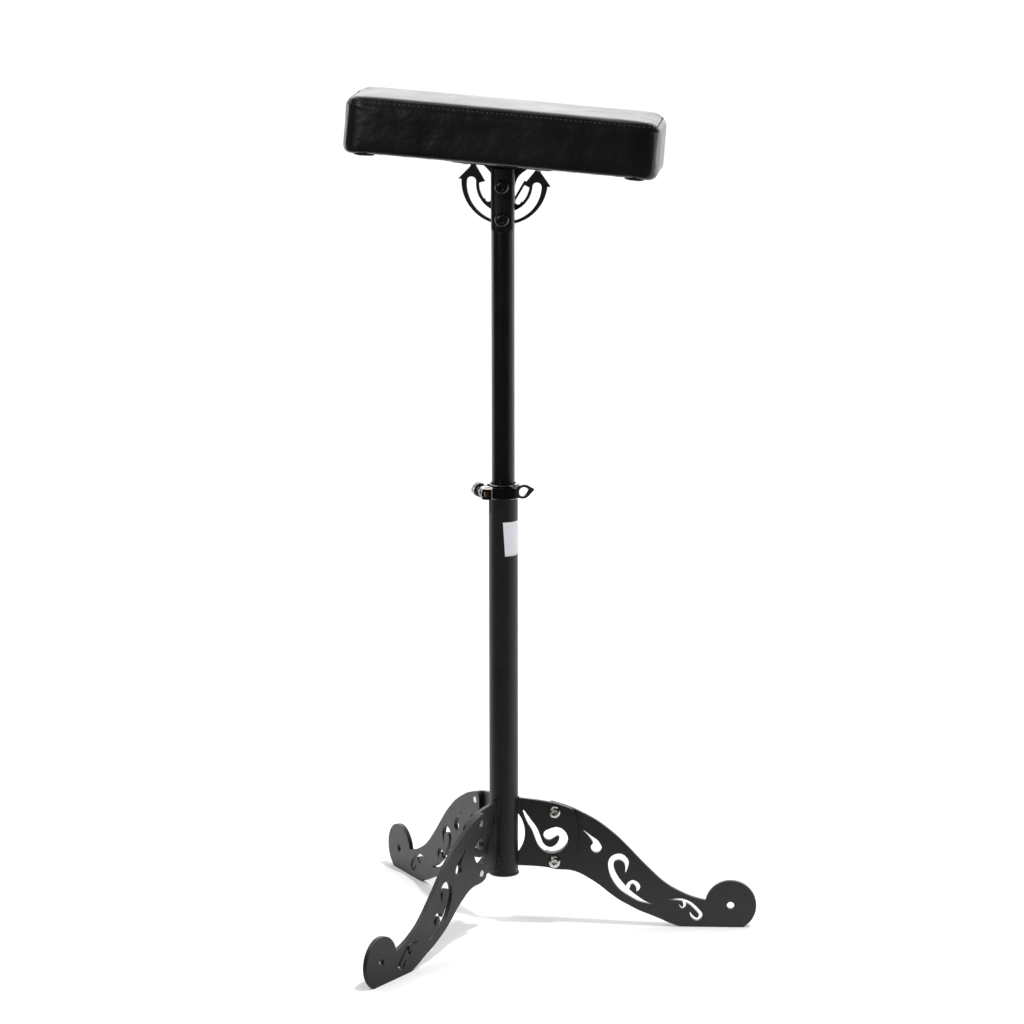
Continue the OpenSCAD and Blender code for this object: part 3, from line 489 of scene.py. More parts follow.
def plated_steel(name, colour, roughness):
    """Bright plated steel with faint polishing marks and a little dullness in patches."""
    material, tree, shader = grained(name, toned(colour, 0.82), colour,
                                     (roughness - 0.06, roughness + 0.1), 2400.0, 240.0, 0.15, 0.0001)
    shader.inputs["Metallic"].default_value = 1.0
    return material


def turned_part(profile, steps=48):
    """A bmesh turned about Z from a profile of (radius, height) points."""
    mesh = bmesh.new()
    line = [mesh.verts.new((radius, 0, height)) for radius, height in profile]
    edges = [mesh.edges.new(pair) for pair in zip(line, line[1:])]
    bmesh.ops.spin(mesh, geom=line + edges, cent=(0, 0, 0), axis=(0, 0, 1), angle=tau, steps=steps,
                   use_merge=True)
    bmesh.ops.remove_doubles(mesh, verts=mesh.verts, dist=1e-7)
    return mesh


def socket_screw(head_radius, head_height, socket_radius, shank_radius, shank_length, rim=0.0007):
    """A domed screw head on the plane z = 0 with a hexagon socket, and its shank below."""
    dome = [(socket_radius * 1.25 + (head_radius - socket_radius * 1.25) * sin(radians(a)),
             rim + (head_height - rim) * cos(radians(a))) for a in range(0, 91, 10)]
    profile = [(socket_radius * 1.12, head_height)] + dome + [
        (head_radius, rim * 0.4), (head_radius - rim * 0.4, 0), (shank_radius, 0),
        (shank_radius, -shank_length + rim * 0.7), (shank_radius - rim * 0.7, -shank_length),
        (0, -shank_length),
    ]
    mesh = turned_part(profile)
    rim_edges = [edge for edge in mesh.edges if edge.is_boundary]
    for depth in (0.0003, head_height * 0.6):
        grown = bmesh.ops.extrude_edge_only(mesh, edges=rim_edges)["geom"]
        rim_edges = [part for part in grown if isinstance(part, bmesh.types.BMEdge)
                     and all(vert in grown for vert in part.verts)]
        for vert in (part for part in grown if isinstance(part, bmesh.types.BMVert)):
            turn = Vector((vert.co.x, vert.co.y)).angle_signed(Vector((1, 0)))
            flat = cos((turn + pi / 6) % (pi / 3) - pi / 6)
            reach = socket_radius * cos(pi / 6) / flat
            vert.co = Vector((cos(turn) * reach, sin(turn) * reach, head_height - depth))
    bmesh.ops.contextual_create(mesh, geom=rim_edges)
    bmesh.ops.recalc_face_normals(mesh, faces=mesh.faces)
    return mesh


nickel = plated_steel("nickel_plated_steel", (0.72, 0.69, 0.65, 1), 0.2)
bolts = repeated(
    socket_screw(bolt_head_radius, bolt_head_height, bolt_socket_radius, bolt_radius, bolt_length),
    [Matrix.Rotation(turn, 4, "Z") @ Matrix.Translation((out, -plate_thickness / 2, up))
     @ Matrix.Rotation(pi / 2, 4, "X") for turn in leg_turns for out, up in bolt_places],
)
leg_bolts = add_piece("leg_bolts_nickel", bolts, nickel)
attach(leg_bolts, "stand")
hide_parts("leg_bolts")

# Label
# A blank white sticker of coated paper, wrapped part of the way round the tube below the clamp. Its
# leading edge went on a little askew.
label_low, label_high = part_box("tube_label")[0].z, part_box("tube_label")[1].z
label_radius = tube_radius + 0.00012
label_from, label_to = radians(-89), radians(21)
label_skew = 0.0023

paper = grained("coated_paper", (0.5, 0.51, 0.54, 1), (0.58, 0.59, 0.62, 1), 0.38, 1500.0, 55.0,
                0.2, 0.0001)[0]

label_mesh = bmesh.new()
bmesh.ops.create_grid(label_mesh, x_segments=36, y_segments=10, size=0.5)
for vert in label_mesh.verts:
    around, up = vert.co.x + 0.5, vert.co.y + 0.5
    lean = (1 - around) * label_skew * (1 - up) / label_radius
    turn = label_from + (label_to - label_from) * around + lean
    lift = 0.00008 * noise.noise(Vector((around * 5, up * 4, 1)))
    reach = label_radius + max(0.0, lift)
    vert.co = Vector((cos(turn) * reach, sin(turn) * reach, label_low + (label_high - label_low) * up))
bmesh.ops.recalc_face_normals(label_mesh, faces=label_mesh.faces)
label = add_piece("tube_label_paper", label_mesh, paper)
label_body = label.modifiers.new("paper thickness", "SOLIDIFY")
label_body.thickness = 0.0001
label_body.offset = 1
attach(label, "stand")
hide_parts("tube_label")

# Reducer bush and guide plug
# Moulded black nylon: a split bush pressed into the tube's top, which the post slides in, and a plug
# on the post's foot, which keeps the post in the middle of the tube.
for node, body in (("reducer_bush", "stand"), ("guide_plug", "slider")):
    bush = eased_copy(node, f"{node}_moulded", nylon, 0.0003)
    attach(bush, body)

# Quick-release clamp
# A die-cast band round the tube's top with two ears, gloss black, and its forged lever with a finger
# loop. The lever turns on a brass barrel against a saddle, and a knurled nut takes up the slack.
gloss_black = (0.0012, 0.0012, 0.0013, 1)


def gloss_finish(material, coat_roughness=0.07, coat_weight=1.0):
    """Adds a clear glossy coat to a painted finish."""
    shader = material.node_tree.nodes["Principled BSDF"]
    shader.inputs["Coat Weight"].default_value = coat_weight
    shader.inputs["Coat Roughness"].default_value = coat_roughness
    return material


clamp_gloss = gloss_finish(coated_metal("gloss_black_alloy", gloss_black, 0.2, peel_scale=260.0,
                                        peel_strength=0.05, edge_radius=0.0005,
                                        edge_colour=(0.012, 0.012, 0.012, 1), speck_colour=gloss_black))
zinc = plated_steel("bright_zinc_steel", (0.6, 0.6, 0.61, 1), 0.26)
brass = plated_steel("turned_brass", (0.42, 0.21, 0.12, 1), 0.3)
for node, name, metal, slot, body, edge, rounds in (
    ("clamp_band", "clamp_band_cast", clamp_gloss, "clamp_black", "stand", 0.0006, 3),
    ("clamp_saddle", "clamp_saddle_cast", clamp_gloss, "clamp_black", "stand", 0.0004, 2),
    ("clamp_lever", "clamp_lever_forged", clamp_gloss, "clamp_black", "clamp_lever", 0.0007, 3),
    ("clamp_skewer", "clamp_skewer_steel", zinc, "zinc_steel", "stand", 0.0004, 2),
    ("clamp_barrel", "clamp_barrel_brass", brass, "brass", "stand", 0.0004, 2),
):
    clamp_piece = eased_copy(node, name, metal, edge, segments=rounds)
    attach(clamp_piece, body)


def joint_place(name):
    """A joint's axis as a matrix whose Z runs along it, at the joint's place."""
    joint = next(joint for joint in frame["joints"] if joint["name"] == name)
    turn = Vector(joint["axis"]).to_track_quat("Z", "Y").to_matrix().to_4x4()
    return Matrix.Translation(joint["pos_m"]) @ turn


nut_radius = 0.008
nut_bore = 0.00253
nut_near, nut_far = 0.0055, 0.0144
knurl_count = 40
knurl_root = 0.93
nut_profile = [
    (nut_bore, nut_near), (nut_radius - 0.0008, nut_near), (nut_radius - 0.0003, nut_near + 0.0004),
    (nut_radius - 0.0003, nut_near + 0.0021), (nut_radius - 0.0007, nut_near + 0.0025),
    (nut_radius * 0.72, nut_near + 0.0026), (nut_radius * 0.72, nut_near + 0.0037),
    (nut_radius - 0.0005, nut_near + 0.0038), (nut_radius, nut_near + 0.0042),
    (nut_radius, nut_far - 0.0012), (nut_radius - 0.0011, nut_far), (0.0034, nut_far),
    (0.0028, nut_far - 0.0006), (nut_bore, nut_far - 0.0012), (nut_bore, nut_near),
]
nut_mesh = turned_part(nut_profile, knurl_count * 2)
for vert in nut_mesh.verts:
    reach = Vector((vert.co.x, vert.co.y)).length
    is_knurled = reach > nut_radius - 0.0002 and vert.co.z > nut_near + 0.004
    tooth = round(Vector((vert.co.x, vert.co.y)).angle_signed(Vector((1, 0))) / tau * knurl_count * 2)
    if is_knurled and tooth % 2:
        vert.co.x *= knurl_root
        vert.co.y *= knurl_root
bmesh.ops.recalc_face_normals(nut_mesh, faces=nut_mesh.faces)
bmesh.ops.transform(nut_mesh, matrix=joint_place("clamp_nut_turn") @ Matrix.Scale(-1, 4, (0, 0, 1)),
                    verts=nut_mesh.verts)
bmesh.ops.recalc_face_normals(nut_mesh, faces=nut_mesh.faces)
clamp_nut = add_piece("clamp_nut_knurled", nut_mesh, zinc, radians(30))
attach(clamp_nut, "clamp_nut")
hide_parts("clamp_nut")

# Post
# A 25 mm steel tube whose top is pressed flat between two dies, so that the tilt plate and the bolt
# heads have a face to sit on. Its black coat is smoother and deeper than the outer tube's.
post_black = (0.0042, 0.0042, 0.0044, 1)
post_radius = 0.0125
post_wall = 0.0015
flat_half = 0.009
flat_corner = 0.0052
press_low, press_high = 0.7793, 0.7853
press_steps = 10
post_low, post_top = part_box("post")[0].z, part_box("post")[1].z
tilt_joint = next(joint for joint in frame["joints"] if joint["name"] == "pad_tilt")
head_turn = Vector(tilt_joint["axis"][:2]).angle_signed(Vector((0, 1)))
head_place = Matrix.Translation(tilt_joint["pos_m"]) @ Matrix.Rotation(head_turn, 4, "Z")

post_mesh = bmesh.new()
ring = bmesh.ops.create_circle(post_mesh, segments=72, radius=post_radius)["verts"]
bmesh.ops.translate(post_mesh, vec=(0, 0, post_low), verts=ring)
edges = list(post_mesh.edges)
levels = [post_low + 0.0005, press_low - 0.08] + [
    press_low + (press_high - press_low) * step / press_steps for step in range(press_steps + 1)
] + [post_top - 0.0006, post_top]
for level in levels:
    share = min(1.0, max(0.0, (level - press_low) / (press_high - press_low)))
    pressed = share * share * (3 - 2 * share)
    half = post_radius + (flat_half - post_radius) * pressed
    corner = post_radius + (flat_corner - post_radius) * pressed
    grown = bmesh.ops.extrude_edge_only(post_mesh, edges=edges)["geom"]
    edges = [part for part in grown if isinstance(part, bmesh.types.BMEdge)
             and all(vert in grown for vert in part.verts)]
    for vert in (part for part in grown if isinstance(part, bmesh.types.BMVert)):
        around = Vector((vert.co.x, vert.co.y)).normalized()
        vert.co.z = level
        core = Vector((post_radius - corner, half - corner))
        square = max(abs(around.x), abs(around.y))
        aim = Vector((around.x / square, around.y / square))
        edge_point = Vector((aim.x * post_radius, aim.y * half))
        held = Vector((max(-core.x, min(core.x, edge_point.x)), max(-core.y, min(core.y, edge_point.y))))
        away = edge_point - held
        round_point = held + away.normalized() * corner
        vert.co.x, vert.co.y = around * post_radius if pressed == 0 else round_point
bmesh.ops.rotate(post_mesh, cent=(0, 0, 0), matrix=Matrix.Rotation(head_turn, 3, "Z"),
                 verts=post_mesh.verts)
bmesh.ops.recalc_face_normals(post_mesh, faces=post_mesh.faces)
post_face = next(iter(post_mesh.faces))
if post_face.normal.dot(post_face.calc_center_median()) < 0:
    bmesh.ops.reverse_faces(post_mesh, faces=post_mesh.faces)
post_paint = coated_metal("post_smooth_coat", post_black, 0.3, peel_scale=300.0, peel_strength=0.06,
                          edge_colour=(0.03, 0.03, 0.031, 1), speck_colour=(0.008, 0.008, 0.008, 1),
                          gloss=0.33)
post = add_piece("post_coated", post_mesh, post_paint, radians(50))
post_body = post.modifiers.new("tube wall", "SOLIDIFY")
post_body.thickness = post_wall
post_body.offset = -1
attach(post, "post")
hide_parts("post")

# Tilt bolts, washers and nut
# Two M8 socket screws with wide domed heads, black oxide, through the post's flats: the upper one is
# the pivot and the lower one runs in the plate's curved slot. Each has a nylon washer between post
# and plate and a steel one behind it, and the pivot has a lock nut.
slot_radius = 0.0357
tilt_head_radius = 0.0078
tilt_socket_radius = 0.0028
tilt_bolt_length = 0.0362

oxide_black = gloss_finish(coated_metal("black_oxide_steel", (0.0025, 0.0025, 0.0027, 1), 0.28,
                                        peel_scale=900.0, peel_strength=0.06, edge_radius=0.0004,
                                        edge_colour=(0.02, 0.02, 0.02, 1)), 0.16, 0.5)
for node, name, drop in (
    ("pivot_bolt", "pivot_bolt_domed", 0.0),
    ("lock_bolt", "lock_bolt_domed", slot_radius),
):
    screw = socket_screw(tilt_head_radius, bolt_head_height, tilt_socket_radius, bolt_radius,
                         tilt_bolt_length, rim=0.0009)
    bmesh.ops.transform(screw, matrix=head_place @ Matrix.Translation((0, -flat_half, -drop))
                        @ Matrix.Rotation(pi / 2, 4, "X"), verts=screw.verts)
    tilt_bolt = add_piece(name, screw, oxide_black)
    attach(tilt_bolt, "post")
    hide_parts(node)
for node, name, metal, slot in (
    ("friction_washers", "friction_washers_nylon", nylon, "black_nylon"),
    ("steel_washers", "steel_washers_zinc", zinc, "zinc_steel"),
    ("pivot_nut", "pivot_nut_zinc", zinc, "zinc_steel"),
):
    fitting = eased_copy(node, name, metal, 0.0002)
    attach(fitting, "post")

# Lock handle
# A small cast lever with a round hub, oxidised black, whose tapped hub screws onto the lock bolt
# behind the tilt plate and clamps it.
lock_handle = eased_copy("lock_handle", "lock_handle_cast", oxide_black, 0.0006, segments=3)
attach(lock_handle, "lock_handle")

# Tilt plate and mount plate
# A 4 mm plate cut by laser into two arrows round a curved slot, welded under a flat plate that four
# screws hold to the pad's board.
head_across = head_place.to_3x3() @ Vector((0, 1, 0))
for node, name, flat_axis in (
    ("tilt_plate", "tilt_plate_cut", head_across),
    ("mount_plate", "mount_plate_cut", None),
):
    plate = eased_copy(node, name, plate_paint, 0.0003, flat_axis)
    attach(plate, "rest")

tilt_rest = radians(4.5)
mount_rise = 0.0244
mount_thickness = 0.003
pad_shift = -0.0015
screw_x, screw_y = 0.04, 0.022
rest_place = head_place @ Matrix.Rotation(tilt_rest, 4, "Y")
screws = repeated(
    socket_screw(head_radius=0.0045, head_height=0.0016, socket_radius=0.0015, shank_radius=0.0024,
                 shank_length=0.012, rim=0.0004),
    [rest_place @ Matrix.Translation((x, y, mount_rise)) @ Matrix.Rotation(pi, 4, "X")
     for x in (-screw_x, screw_x) for y in (-screw_y, screw_y)],
)
mount_screws = add_piece("mount_screws_zinc", screws, zinc)
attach(mount_screws, "rest")
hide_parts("mount_screws")

# Pad board
# A birch plywood board with well rounded edges inside the cushion. The foam rests on it, the cover is
# stapled under it and the mount plate's four screws bite into it.
board_wood, tree, shader = new_material("birch_plywood")
stretch = tree.nodes.new("ShaderNodeMapping")
stretch.inputs["Scale"].default_value = (6.0, 90.0, 700.0)
tree.links.new(tree.nodes.new("ShaderNodeTexCoord").outputs["Object"], stretch.inputs["Vector"])
veneer = noise_node(tree, stretch.outputs["Vector"], 1.0, 5.0, 0.6)
tree.links.new(mixed(tree, veneer, (0.36, 0.22, 0.1, 1), (0.58, 0.42, 0.24, 1)), shader.inputs["Base Color"])
tree.links.new(map_range(tree, veneer, 0.3, 0.7, 0.55, 0.75), shader.inputs["Roughness"])
tree.links.new(bump(tree, veneer, 0.3, 0.0003), shader.inputs["Normal"])
board = eased_copy("pad_board", "pad_board_plywood", board_wood, 0.0049)
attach(board, "rest")

# Pad cover
# A boxed cushion of glossy black artificial leather: a top panel turned over the edge and sewn to a
# side band a little below it, stuffed tight with foam and turned in under the board, where it hangs
# a little at the corners. It is blown up as cloth, held at its hem and its sewn line.
pad_length = 0.340
pad_width = 0.102
pad_height = 0.0606
pad_corner = 0.018
pad_hem = 0.0142
top_rounds = (0.0045, 0.0150)
low_rounds = (0.0048, 0.0072)
seam_drop = 0.0060
seam_lift = 0.0006
seam_pull = 0.0013
seam_hold = 0.9
end_seam_hold = 0.5
end_depth = 0.006
slack_depth = 0.012
slack_reach = 0.05
pucker = 0.0006
pucker_rise = 0.0005
waist = 0.0011
corner_sag = 0.0024
corner_reach = 0.026
sag_height = 0.02
blowing_frames = 20
most_swollen = 0.0013
most_creased = 0.0016
calming_turns = 14
leather_thickness = 0.0012
cell = 0.0031
pad_place = rest_place @ Matrix.Translation((pad_shift, 0, mount_rise + mount_thickness))


def boxed_cushion(length, width, height, corner, top_edges, low_edges, cell_size):
    """A box of square cells on z from 0 to its height, with rounded corners and edges.

    Each pair of edge radii is for the long sides and for the ends."""
    mesh = bmesh.new()
    bmesh.ops.create_cube(mesh, size=1)
    for axis, size in enumerate((length, width, height)):
        cuts = round(size / cell_size) - 1
        normal = Vector([float(axis == k) for k in range(3)])
        for cut in range(1, cuts + 1):
            whole = mesh.verts[:] + mesh.edges[:] + mesh.faces[:]
            at = normal * (cut / (cuts + 1) - 0.5)
            bmesh.ops.bisect_plane(mesh, geom=whole, plane_co=at, plane_no=normal)
    bmesh.ops.scale(mesh, vec=(length, width, height), verts=mesh.verts)
    bmesh.ops.translate(mesh, vec=(0, 0, height / 2), verts=mesh.verts)
    for vert in mesh.verts:
        flat = Vector((vert.co.x, vert.co.y))
        core = Vector((length / 2 - corner, width / 2 - corner))
        held = Vector((max(-core.x, min(core.x, flat.x)), max(-core.y, min(core.y, flat.y))))
        away = flat - held
        if away.length > 1e-9:
            out = away.normalized()
            inset = corner - max(abs(away.x), abs(away.y))
            is_high = vert.co.z > height / 2
            side_edge, end_edge = top_edges if is_high else low_edges
            edge = side_edge + (end_edge - side_edge) * out.x ** 2
            up = height - vert.co.z if is_high else vert.co.z
            if inset < edge and up < edge:
                local = Vector((edge - inset, edge - up))
                local = local.normalized() * max(local)
                inset, up = edge - local.x, edge - local.y
                vert.co.z = height - up if is_high else up
            vert.co.x, vert.co.y = held + out * (corner - inset)
    return mesh


def corner_share(place, reach):
    """How near a point of the pad is to one of its corners in plan: 1 there, 0 beyond the reach."""
    gap = Vector((pad_length / 2 - abs(place.x), pad_width / 2 - abs(place.y))).length
    share = max(0.0, 1 - gap / reach)
    return share * share * (3 - 2 * share)


pad_mesh = boxed_cushion(pad_length, pad_width, pad_height, pad_corner, top_rounds, low_rounds, cell)
inner_base = [face for face in pad_mesh.faces if all(
    vert.co.z < 1e-6 and abs(vert.co.x) < pad_length / 2 - pad_hem + 1e-4
    and abs(vert.co.y) < pad_width / 2 - pad_hem + 1e-4 for vert in face.verts)]
bmesh.ops.delete(pad_mesh, geom=inner_base, context="FACES")
levels = sorted({round(vert.co.z, 5) for vert in pad_mesh.verts
                 if abs(vert.co.y) > pad_width / 2 - seam_pull})
seam_level = min(levels, key=lambda level: abs(level - (pad_height - seam_drop)))
hold = {}
slack = {}
for vert in pad_mesh.verts:
    hem_inset = min(pad_length / 2 - abs(vert.co.x), pad_width / 2 - abs(vert.co.y))
    from_seam = abs(vert.co.z - seam_level)
    is_side = 1e-6 < vert.co.z < pad_height - 1e-6 and hem_inset < low_rounds[1]
    is_seam = is_side and from_seam < cell * 0.3
    if vert.co.z < 1e-6:
        hold[vert.index] = 1.0
    elif is_seam:
        is_end = abs(vert.co.x) > pad_length / 2 - end_depth
        hold[vert.index] = end_seam_hold if is_end else seam_hold
    else:
        hold[vert.index] = 0.0
    slack[vert.index] = 0.0
    waves = cos(pi * (vert.co.x + vert.co.y) / cell) * noise.noise(vert.co * 60)
    if is_side:
        slack[vert.index] = max(0.0, 1 - from_seam / slack_depth) * (0.4 + corner_share(vert.co, slack_reach))
        out = Vector((vert.co.x / pad_length * 0.3, vert.co.y / pad_width, 0)).normalized()
        if abs(abs(vert.co.x) - pad_length / 2) < low_rounds[0]:
            out = Vector((vert.co.x, 0, 0)).normalized()
        along = (abs(vert.co.x) / (pad_length / 2) if abs(out.y) > abs(out.x)
                 else abs(vert.co.y) / (pad_width / 2))
        drawn = waist * (1 - along * along) * sin(pi * vert.co.z / pad_height)
        if is_seam:
            drawn += seam_pull * (1 - out.x * out.x)
            vert.co.z += seam_lift * (1 - out.x * out.x)
        elif from_seam < cell * 1.4:
            drawn -= pucker * waves + pucker_rise
        vert.co -= out * drawn
    near = corner_share(vert.co, corner_reach)
    low = max(0.0, 1 - vert.co.z / sag_height)
    vert.co.z -= corner_sag * near * low * low

leather, tree, shader = grained("glossy_artificial_leather", (0.0018, 0.0018, 0.0021, 1),
                                (0.0052, 0.0052, 0.0056, 1), (0.3, 0.42), 38.0, 16.0, 0.8, 0.0024)
waves = shader.inputs["Normal"].links[0].from_socket
pores = tree.nodes.new("ShaderNodeTexVoronoi")
pores.feature = "SMOOTH_F1"
pores.inputs["Scale"].default_value = 780.0
tree.links.new(tree.nodes["Texture Coordinate"].outputs["Object"], pores.inputs["Vector"])
tree.links.new(bump(tree, pores.outputs["Distance"], 0.25, 0.00012, waves), shader.inputs["Normal"])
gloss_finish(leather, 0.16, 0.35)

pad_cover = add_piece("pad_cover_leather", pad_mesh, leather, pi)
start = [vert.co.copy() for vert in pad_cover.data.vertices]
for label, weights in (("held", hold), ("slack", slack)):
    group = pad_cover.vertex_groups.new(name=label)
    for index, weight in weights.items():
        group.add([index], weight, "REPLACE")
blown = pad_cover.modifiers.new("blown up", "CLOTH")
cloth = blown.settings
cloth.quality = 6
cloth.mass = 0.25
cloth.tension_stiffness = 60
cloth.compression_stiffness = 60
cloth.shear_stiffness = 25
cloth.bending_stiffness = 0.3
cloth.use_pressure = True
cloth.uniform_pressure_force = 4
cloth.vertex_group_mass = "held"
cloth.vertex_group_shrink = "slack"
cloth.shrink_min = 0.0
cloth.shrink_max = -0.08
cloth.effector_weights.gravity = 0
blown.collision_settings.use_collision = False
blown.point_cache.frame_start = 1
blown.point_cache.frame_end = blowing_frames
for step in range(1, blowing_frames + 1):
    bpy.context.scene.frame_set(step)
evaluated = pad_cover.evaluated_get(bpy.context.evaluated_depsgraph_get())
moves = [vert.co - begun for vert, begun in zip(evaluated.to_mesh().vertices, start)]
evaluated.to_mesh_clear()
pad_cover.modifiers.remove(blown)
pad_cover.vertex_groups.clear()
bpy.context.scene.frame_set(1)

# The foam holds the even swelling back and leaves the creases beside the seam as they formed
neighbours = [[] for move in moves]
for edge in pad_cover.data.edges:
    first, second = edge.vertices
    neighbours[first].append(second)
    neighbours[second].append(first)
even = list(moves)
for turn in range(calming_turns):
    even = [(even[k] + sum((even[n] for n in near), Vector()) / len(near)) / 2
            for k, near in enumerate(neighbours)]
for vert, begun, move, calm in zip(pad_cover.data.vertices, start, moves, even):
    crease = move - calm
    depth = min(crease.length, most_creased) * min(1.0, 0.08 + 1.3 * slack[vert.index])
    swelling = calm.normalized() * most_swollen * tanh(calm.length / most_swollen)
    vert.co = begun + swelling + crease.normalized() * depth

pad_mesh = bmesh.new()
pad_mesh.from_mesh(pad_cover.data)
bmesh.ops.recalc_face_normals(pad_mesh, faces=pad_mesh.faces)
top_face = max(pad_mesh.faces, key=lambda face: face.calc_center_median().z)
if top_face.normal.z < 0:
    bmesh.ops.reverse_faces(pad_mesh, faces=pad_mesh.faces)
pad_surface = BVHTree.FromBMesh(pad_mesh)

# Pad foam
# One block of firm yellow upholstery foam, cut to the cushion's shape. It fills the cover down to the
# board, on which it is glued.
foam_gap = 0.0019
foam_low = 0.0114
foam_mesh = pad_mesh.copy()
foam_mesh.normal_update()
for vert, inward in [(vert, -vert.normal) for vert in foam_mesh.verts]:
    vert.co += inward * foam_gap
below = [vert for vert in foam_mesh.verts if vert.co.z < foam_low]
bmesh.ops.delete(foam_mesh, geom=below, context="VERTS")
rim = [edge for edge in foam_mesh.edges if edge.is_boundary]
for vert in {vert for edge in rim for vert in edge.verts}:
    vert.co.z = foam_low
bmesh.ops.contextual_create(foam_mesh, geom=rim)
bmesh.ops.recalc_face_normals(foam_mesh, faces=foam_mesh.faces)
bmesh.ops.transform(foam_mesh, matrix=pad_place, verts=foam_mesh.verts)
foam = grained("upholstery_foam", (0.62, 0.53, 0.33, 1), (0.78, 0.72, 0.52, 1), 0.95, 1500.0, 30.0,
               0.6, 0.0006)[0]
foam_block = add_piece("pad_foam_block", foam_mesh, foam)
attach(foam_block, "rest")
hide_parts("pad_foam")

# Pad stitching
# Black thread through the top panel just below its edge, in short slanting stitches that sink into
# the leather at their ends.
stitch_pitch = 0.0052
stitch_length = 0.0039
stitch_width = 0.0011
stitch_slant = radians(14)
stitch_stand = 0.12
stitch_level = seam_level + seam_lift + 0.0010
straight_x = pad_length / 2 - pad_corner
straight_y = pad_width / 2 - pad_corner
lap = [(Vector((straight_x, straight_y)), 0.0), (Vector((-straight_x, straight_y)), pi / 2),
       (Vector((-straight_x, -straight_y)), pi), (Vector((straight_x, -straight_y)), 3 * pi / 2)]
stitch_places = []
for number, (centre, turn) in enumerate(lap):
    round_steps = round(pad_corner * pi / 2 / stitch_pitch)
    for step in range(round_steps):
        stitch_places.append((centre, turn + pi / 2 * step / round_steps))
    run = lap[(number + 1) % 4][0] - centre
    line_steps = round(run.length / stitch_pitch)
    for step in range(line_steps):
        stitch_places.append((centre + run * (step / line_steps), turn + pi / 2))
sunk = []
for centre, turn in stitch_places:
    out = Vector((cos(turn), sin(turn), 0))
    origin = Vector((centre.x, centre.y, stitch_level)) + out * (pad_corner + 0.03)
    hit, normal = pad_surface.ray_cast(origin, -out)[:2]
    if hit is None:
        continue
    along = Vector((-out.y, out.x, 0))
    aim = Matrix.Rotation(stitch_slant, 3, normal) @ (along - normal * along.dot(normal)).normalized()
    turn_matrix = Matrix((aim, normal.cross(aim), normal)).transposed().to_4x4()
    seat = Matrix.Translation(hit + normal * stitch_width * stitch_stand)
    sunk.append(pad_place @ seat @ turn_matrix)
stitch = bmesh.new()
bmesh.ops.create_icosphere(stitch, subdivisions=1, radius=0.5)
bmesh.ops.scale(stitch, vec=(stitch_length, stitch_width, stitch_width), verts=stitch.verts)
thread, tree, shader = new_material("black_thread")
twist = noise_node(tree, tree.nodes.new("ShaderNodeTexCoord").outputs["Object"], 3500.0, 1.0)
tree.links.new(mixed(tree, twist, (0.02, 0.02, 0.0204, 1), (0.06, 0.06, 0.0615, 1)),
               shader.inputs["Base Color"])
shader.inputs["Roughness"].default_value = 0.6
tree.links.new(bump(tree, twist, 0.5, 0.0002), shader.inputs["Normal"])
stitching = add_piece("pad_stitching", repeated(stitch, sunk), thread, pi)
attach(stitching, "rest")

# Pad corner folds
# The cover's slack leather at each corner, folded under the board in overlapping pleats and stapled
# there as a flat lump.
fold_inset = Vector((0.025, 0.013))
fold_size = Vector((0.012, 0.0095, 0.0034))
folds = bmesh.new()
bmesh.ops.create_uvsphere(folds, u_segments=40, v_segments=20, radius=1)
for vert in folds.verts:
    pleat = 0.10 * sin(vert.co.x * 7 + 2.5 * vert.co.y) + 0.14 * noise.noise(vert.co * 2.2)
    flat = max(-0.45, vert.co.z)
    vert.co = Vector((vert.co.x * (1 + pleat), vert.co.y * (1 + pleat * 0.6), flat + pleat * 0.5))
bmesh.ops.scale(folds, vec=fold_size, verts=folds.verts)
corner_folds = repeated(folds, [
    pad_place @ Matrix.Translation((side * (pad_length / 2 - fold_inset.x),
                                    end * (pad_width / 2 - fold_inset.y), -0.0008))
    @ Matrix.Rotation(radians(35) * side * end, 4, "Z") for side in (-1, 1) for end in (-1, 1)])
bmesh.ops.recalc_face_normals(corner_folds, faces=corner_folds.faces)
corner_folds = add_piece("pad_corner_folds", corner_folds, leather, pi)
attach(corner_folds, "rest")

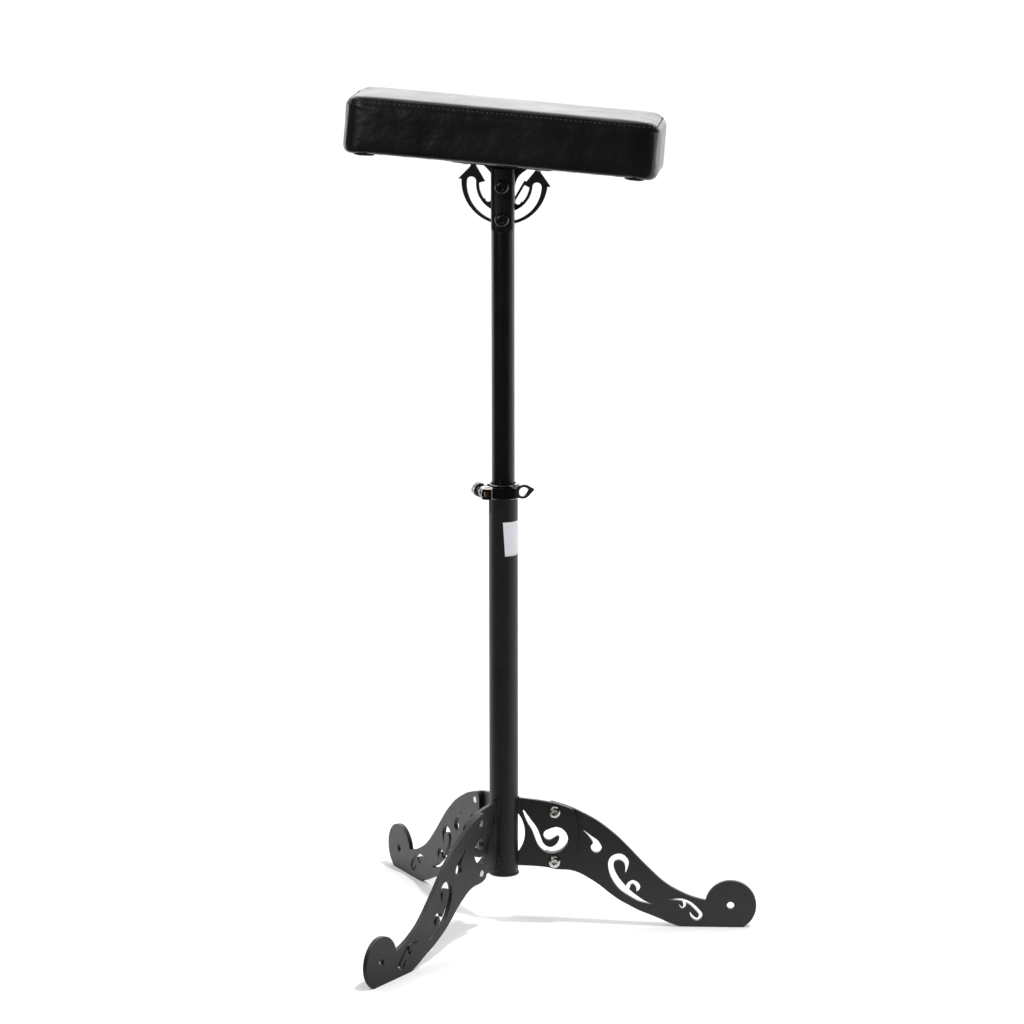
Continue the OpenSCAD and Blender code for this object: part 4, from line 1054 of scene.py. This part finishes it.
# Pad lining and staples
# A black non-woven sheet closes the underside inside the turned-in hem, which steel staples hold to
# the board.
lining_gap = 0.0003
lining_thickness = 0.0012
lining_corner = 0.004
lining_edges = (0.0003, 0.0003)
lining_cell = 0.004
lining_mesh = boxed_cushion(pad_length - 2 * (pad_hem + lining_gap), pad_width - 2 * (pad_hem + lining_gap),
                            lining_thickness, lining_corner, lining_edges, lining_edges, lining_cell)
for vert in lining_mesh.verts:
    if vert.co.z < lining_thickness / 2:
        vert.co.z += 0.0002 + 0.0003 * noise.noise(vert.co * 70)
bmesh.ops.recalc_face_normals(lining_mesh, faces=lining_mesh.faces)
bmesh.ops.transform(lining_mesh, matrix=pad_place, verts=lining_mesh.verts)
felt, tree, shader = grained("black_nonwoven", (0.011, 0.011, 0.012, 1), (0.026, 0.026, 0.027, 1), 0.9,
                             2200.0, 160.0, 0.5, 0.0003)
shader.inputs["Sheen Weight"].default_value = 0.25
lining = add_piece("pad_lining", lining_mesh, felt, radians(50))
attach(lining, "rest")
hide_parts("pad_underside")

staple_size = (0.010, 0.0011, 0.0007)
staple_pitch = 0.026
staple_end_pitch = 0.021
staple_inset = 0.0092
staple_scatter = 0.25
staple = bmesh.new()
bmesh.ops.create_cube(staple, size=1)
bmesh.ops.scale(staple, vec=staple_size, verts=staple.verts)
bmesh.ops.bevel(staple, geom=staple.edges[:], offset=0.00025, segments=2, profile=0.5, affect="EDGES",
                material=-1)
staple_places = []
for side in (-1, 1):
    for step in range(-5, 6):
        staple_places.append(((step * staple_pitch, side * (pad_width / 2 - staple_inset)), 0.0))
    for step in (-1, 0, 1):
        staple_places.append(((side * (pad_length / 2 - staple_inset), step * staple_end_pitch), pi / 2))
staples = repeated(staple, [
    pad_place @ Matrix.Translation((x, y, -0.0001))
    @ Matrix.Rotation(turn + staple_scatter * sin(37 * x + 91 * y), 4, "Z")
    for (x, y), turn in staple_places])
staples = add_piece("pad_staples", staples, zinc)
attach(staples, "rest")

# Pad cover, closed up
# The cover's leather gets its own thickness, inwards from its face, once the foam and the stitches
# have been fitted to that face. Its hem lies open under the board.
bmesh.ops.transform(pad_mesh, matrix=pad_place, verts=pad_mesh.verts)
pad_mesh.to_mesh(pad_cover.data)
pad_mesh.free()
pad_cover.data.shade_smooth()
fullness = pad_cover.modifiers.new("smooth leather", "SUBSURF")
fullness.levels = 1
fullness.render_levels = 1
leather_body = pad_cover.modifiers.new("leather thickness", "SOLIDIFY")
leather_body.thickness = leather_thickness
leather_body.offset = -1
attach(pad_cover, "rest")
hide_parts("pad_cover")
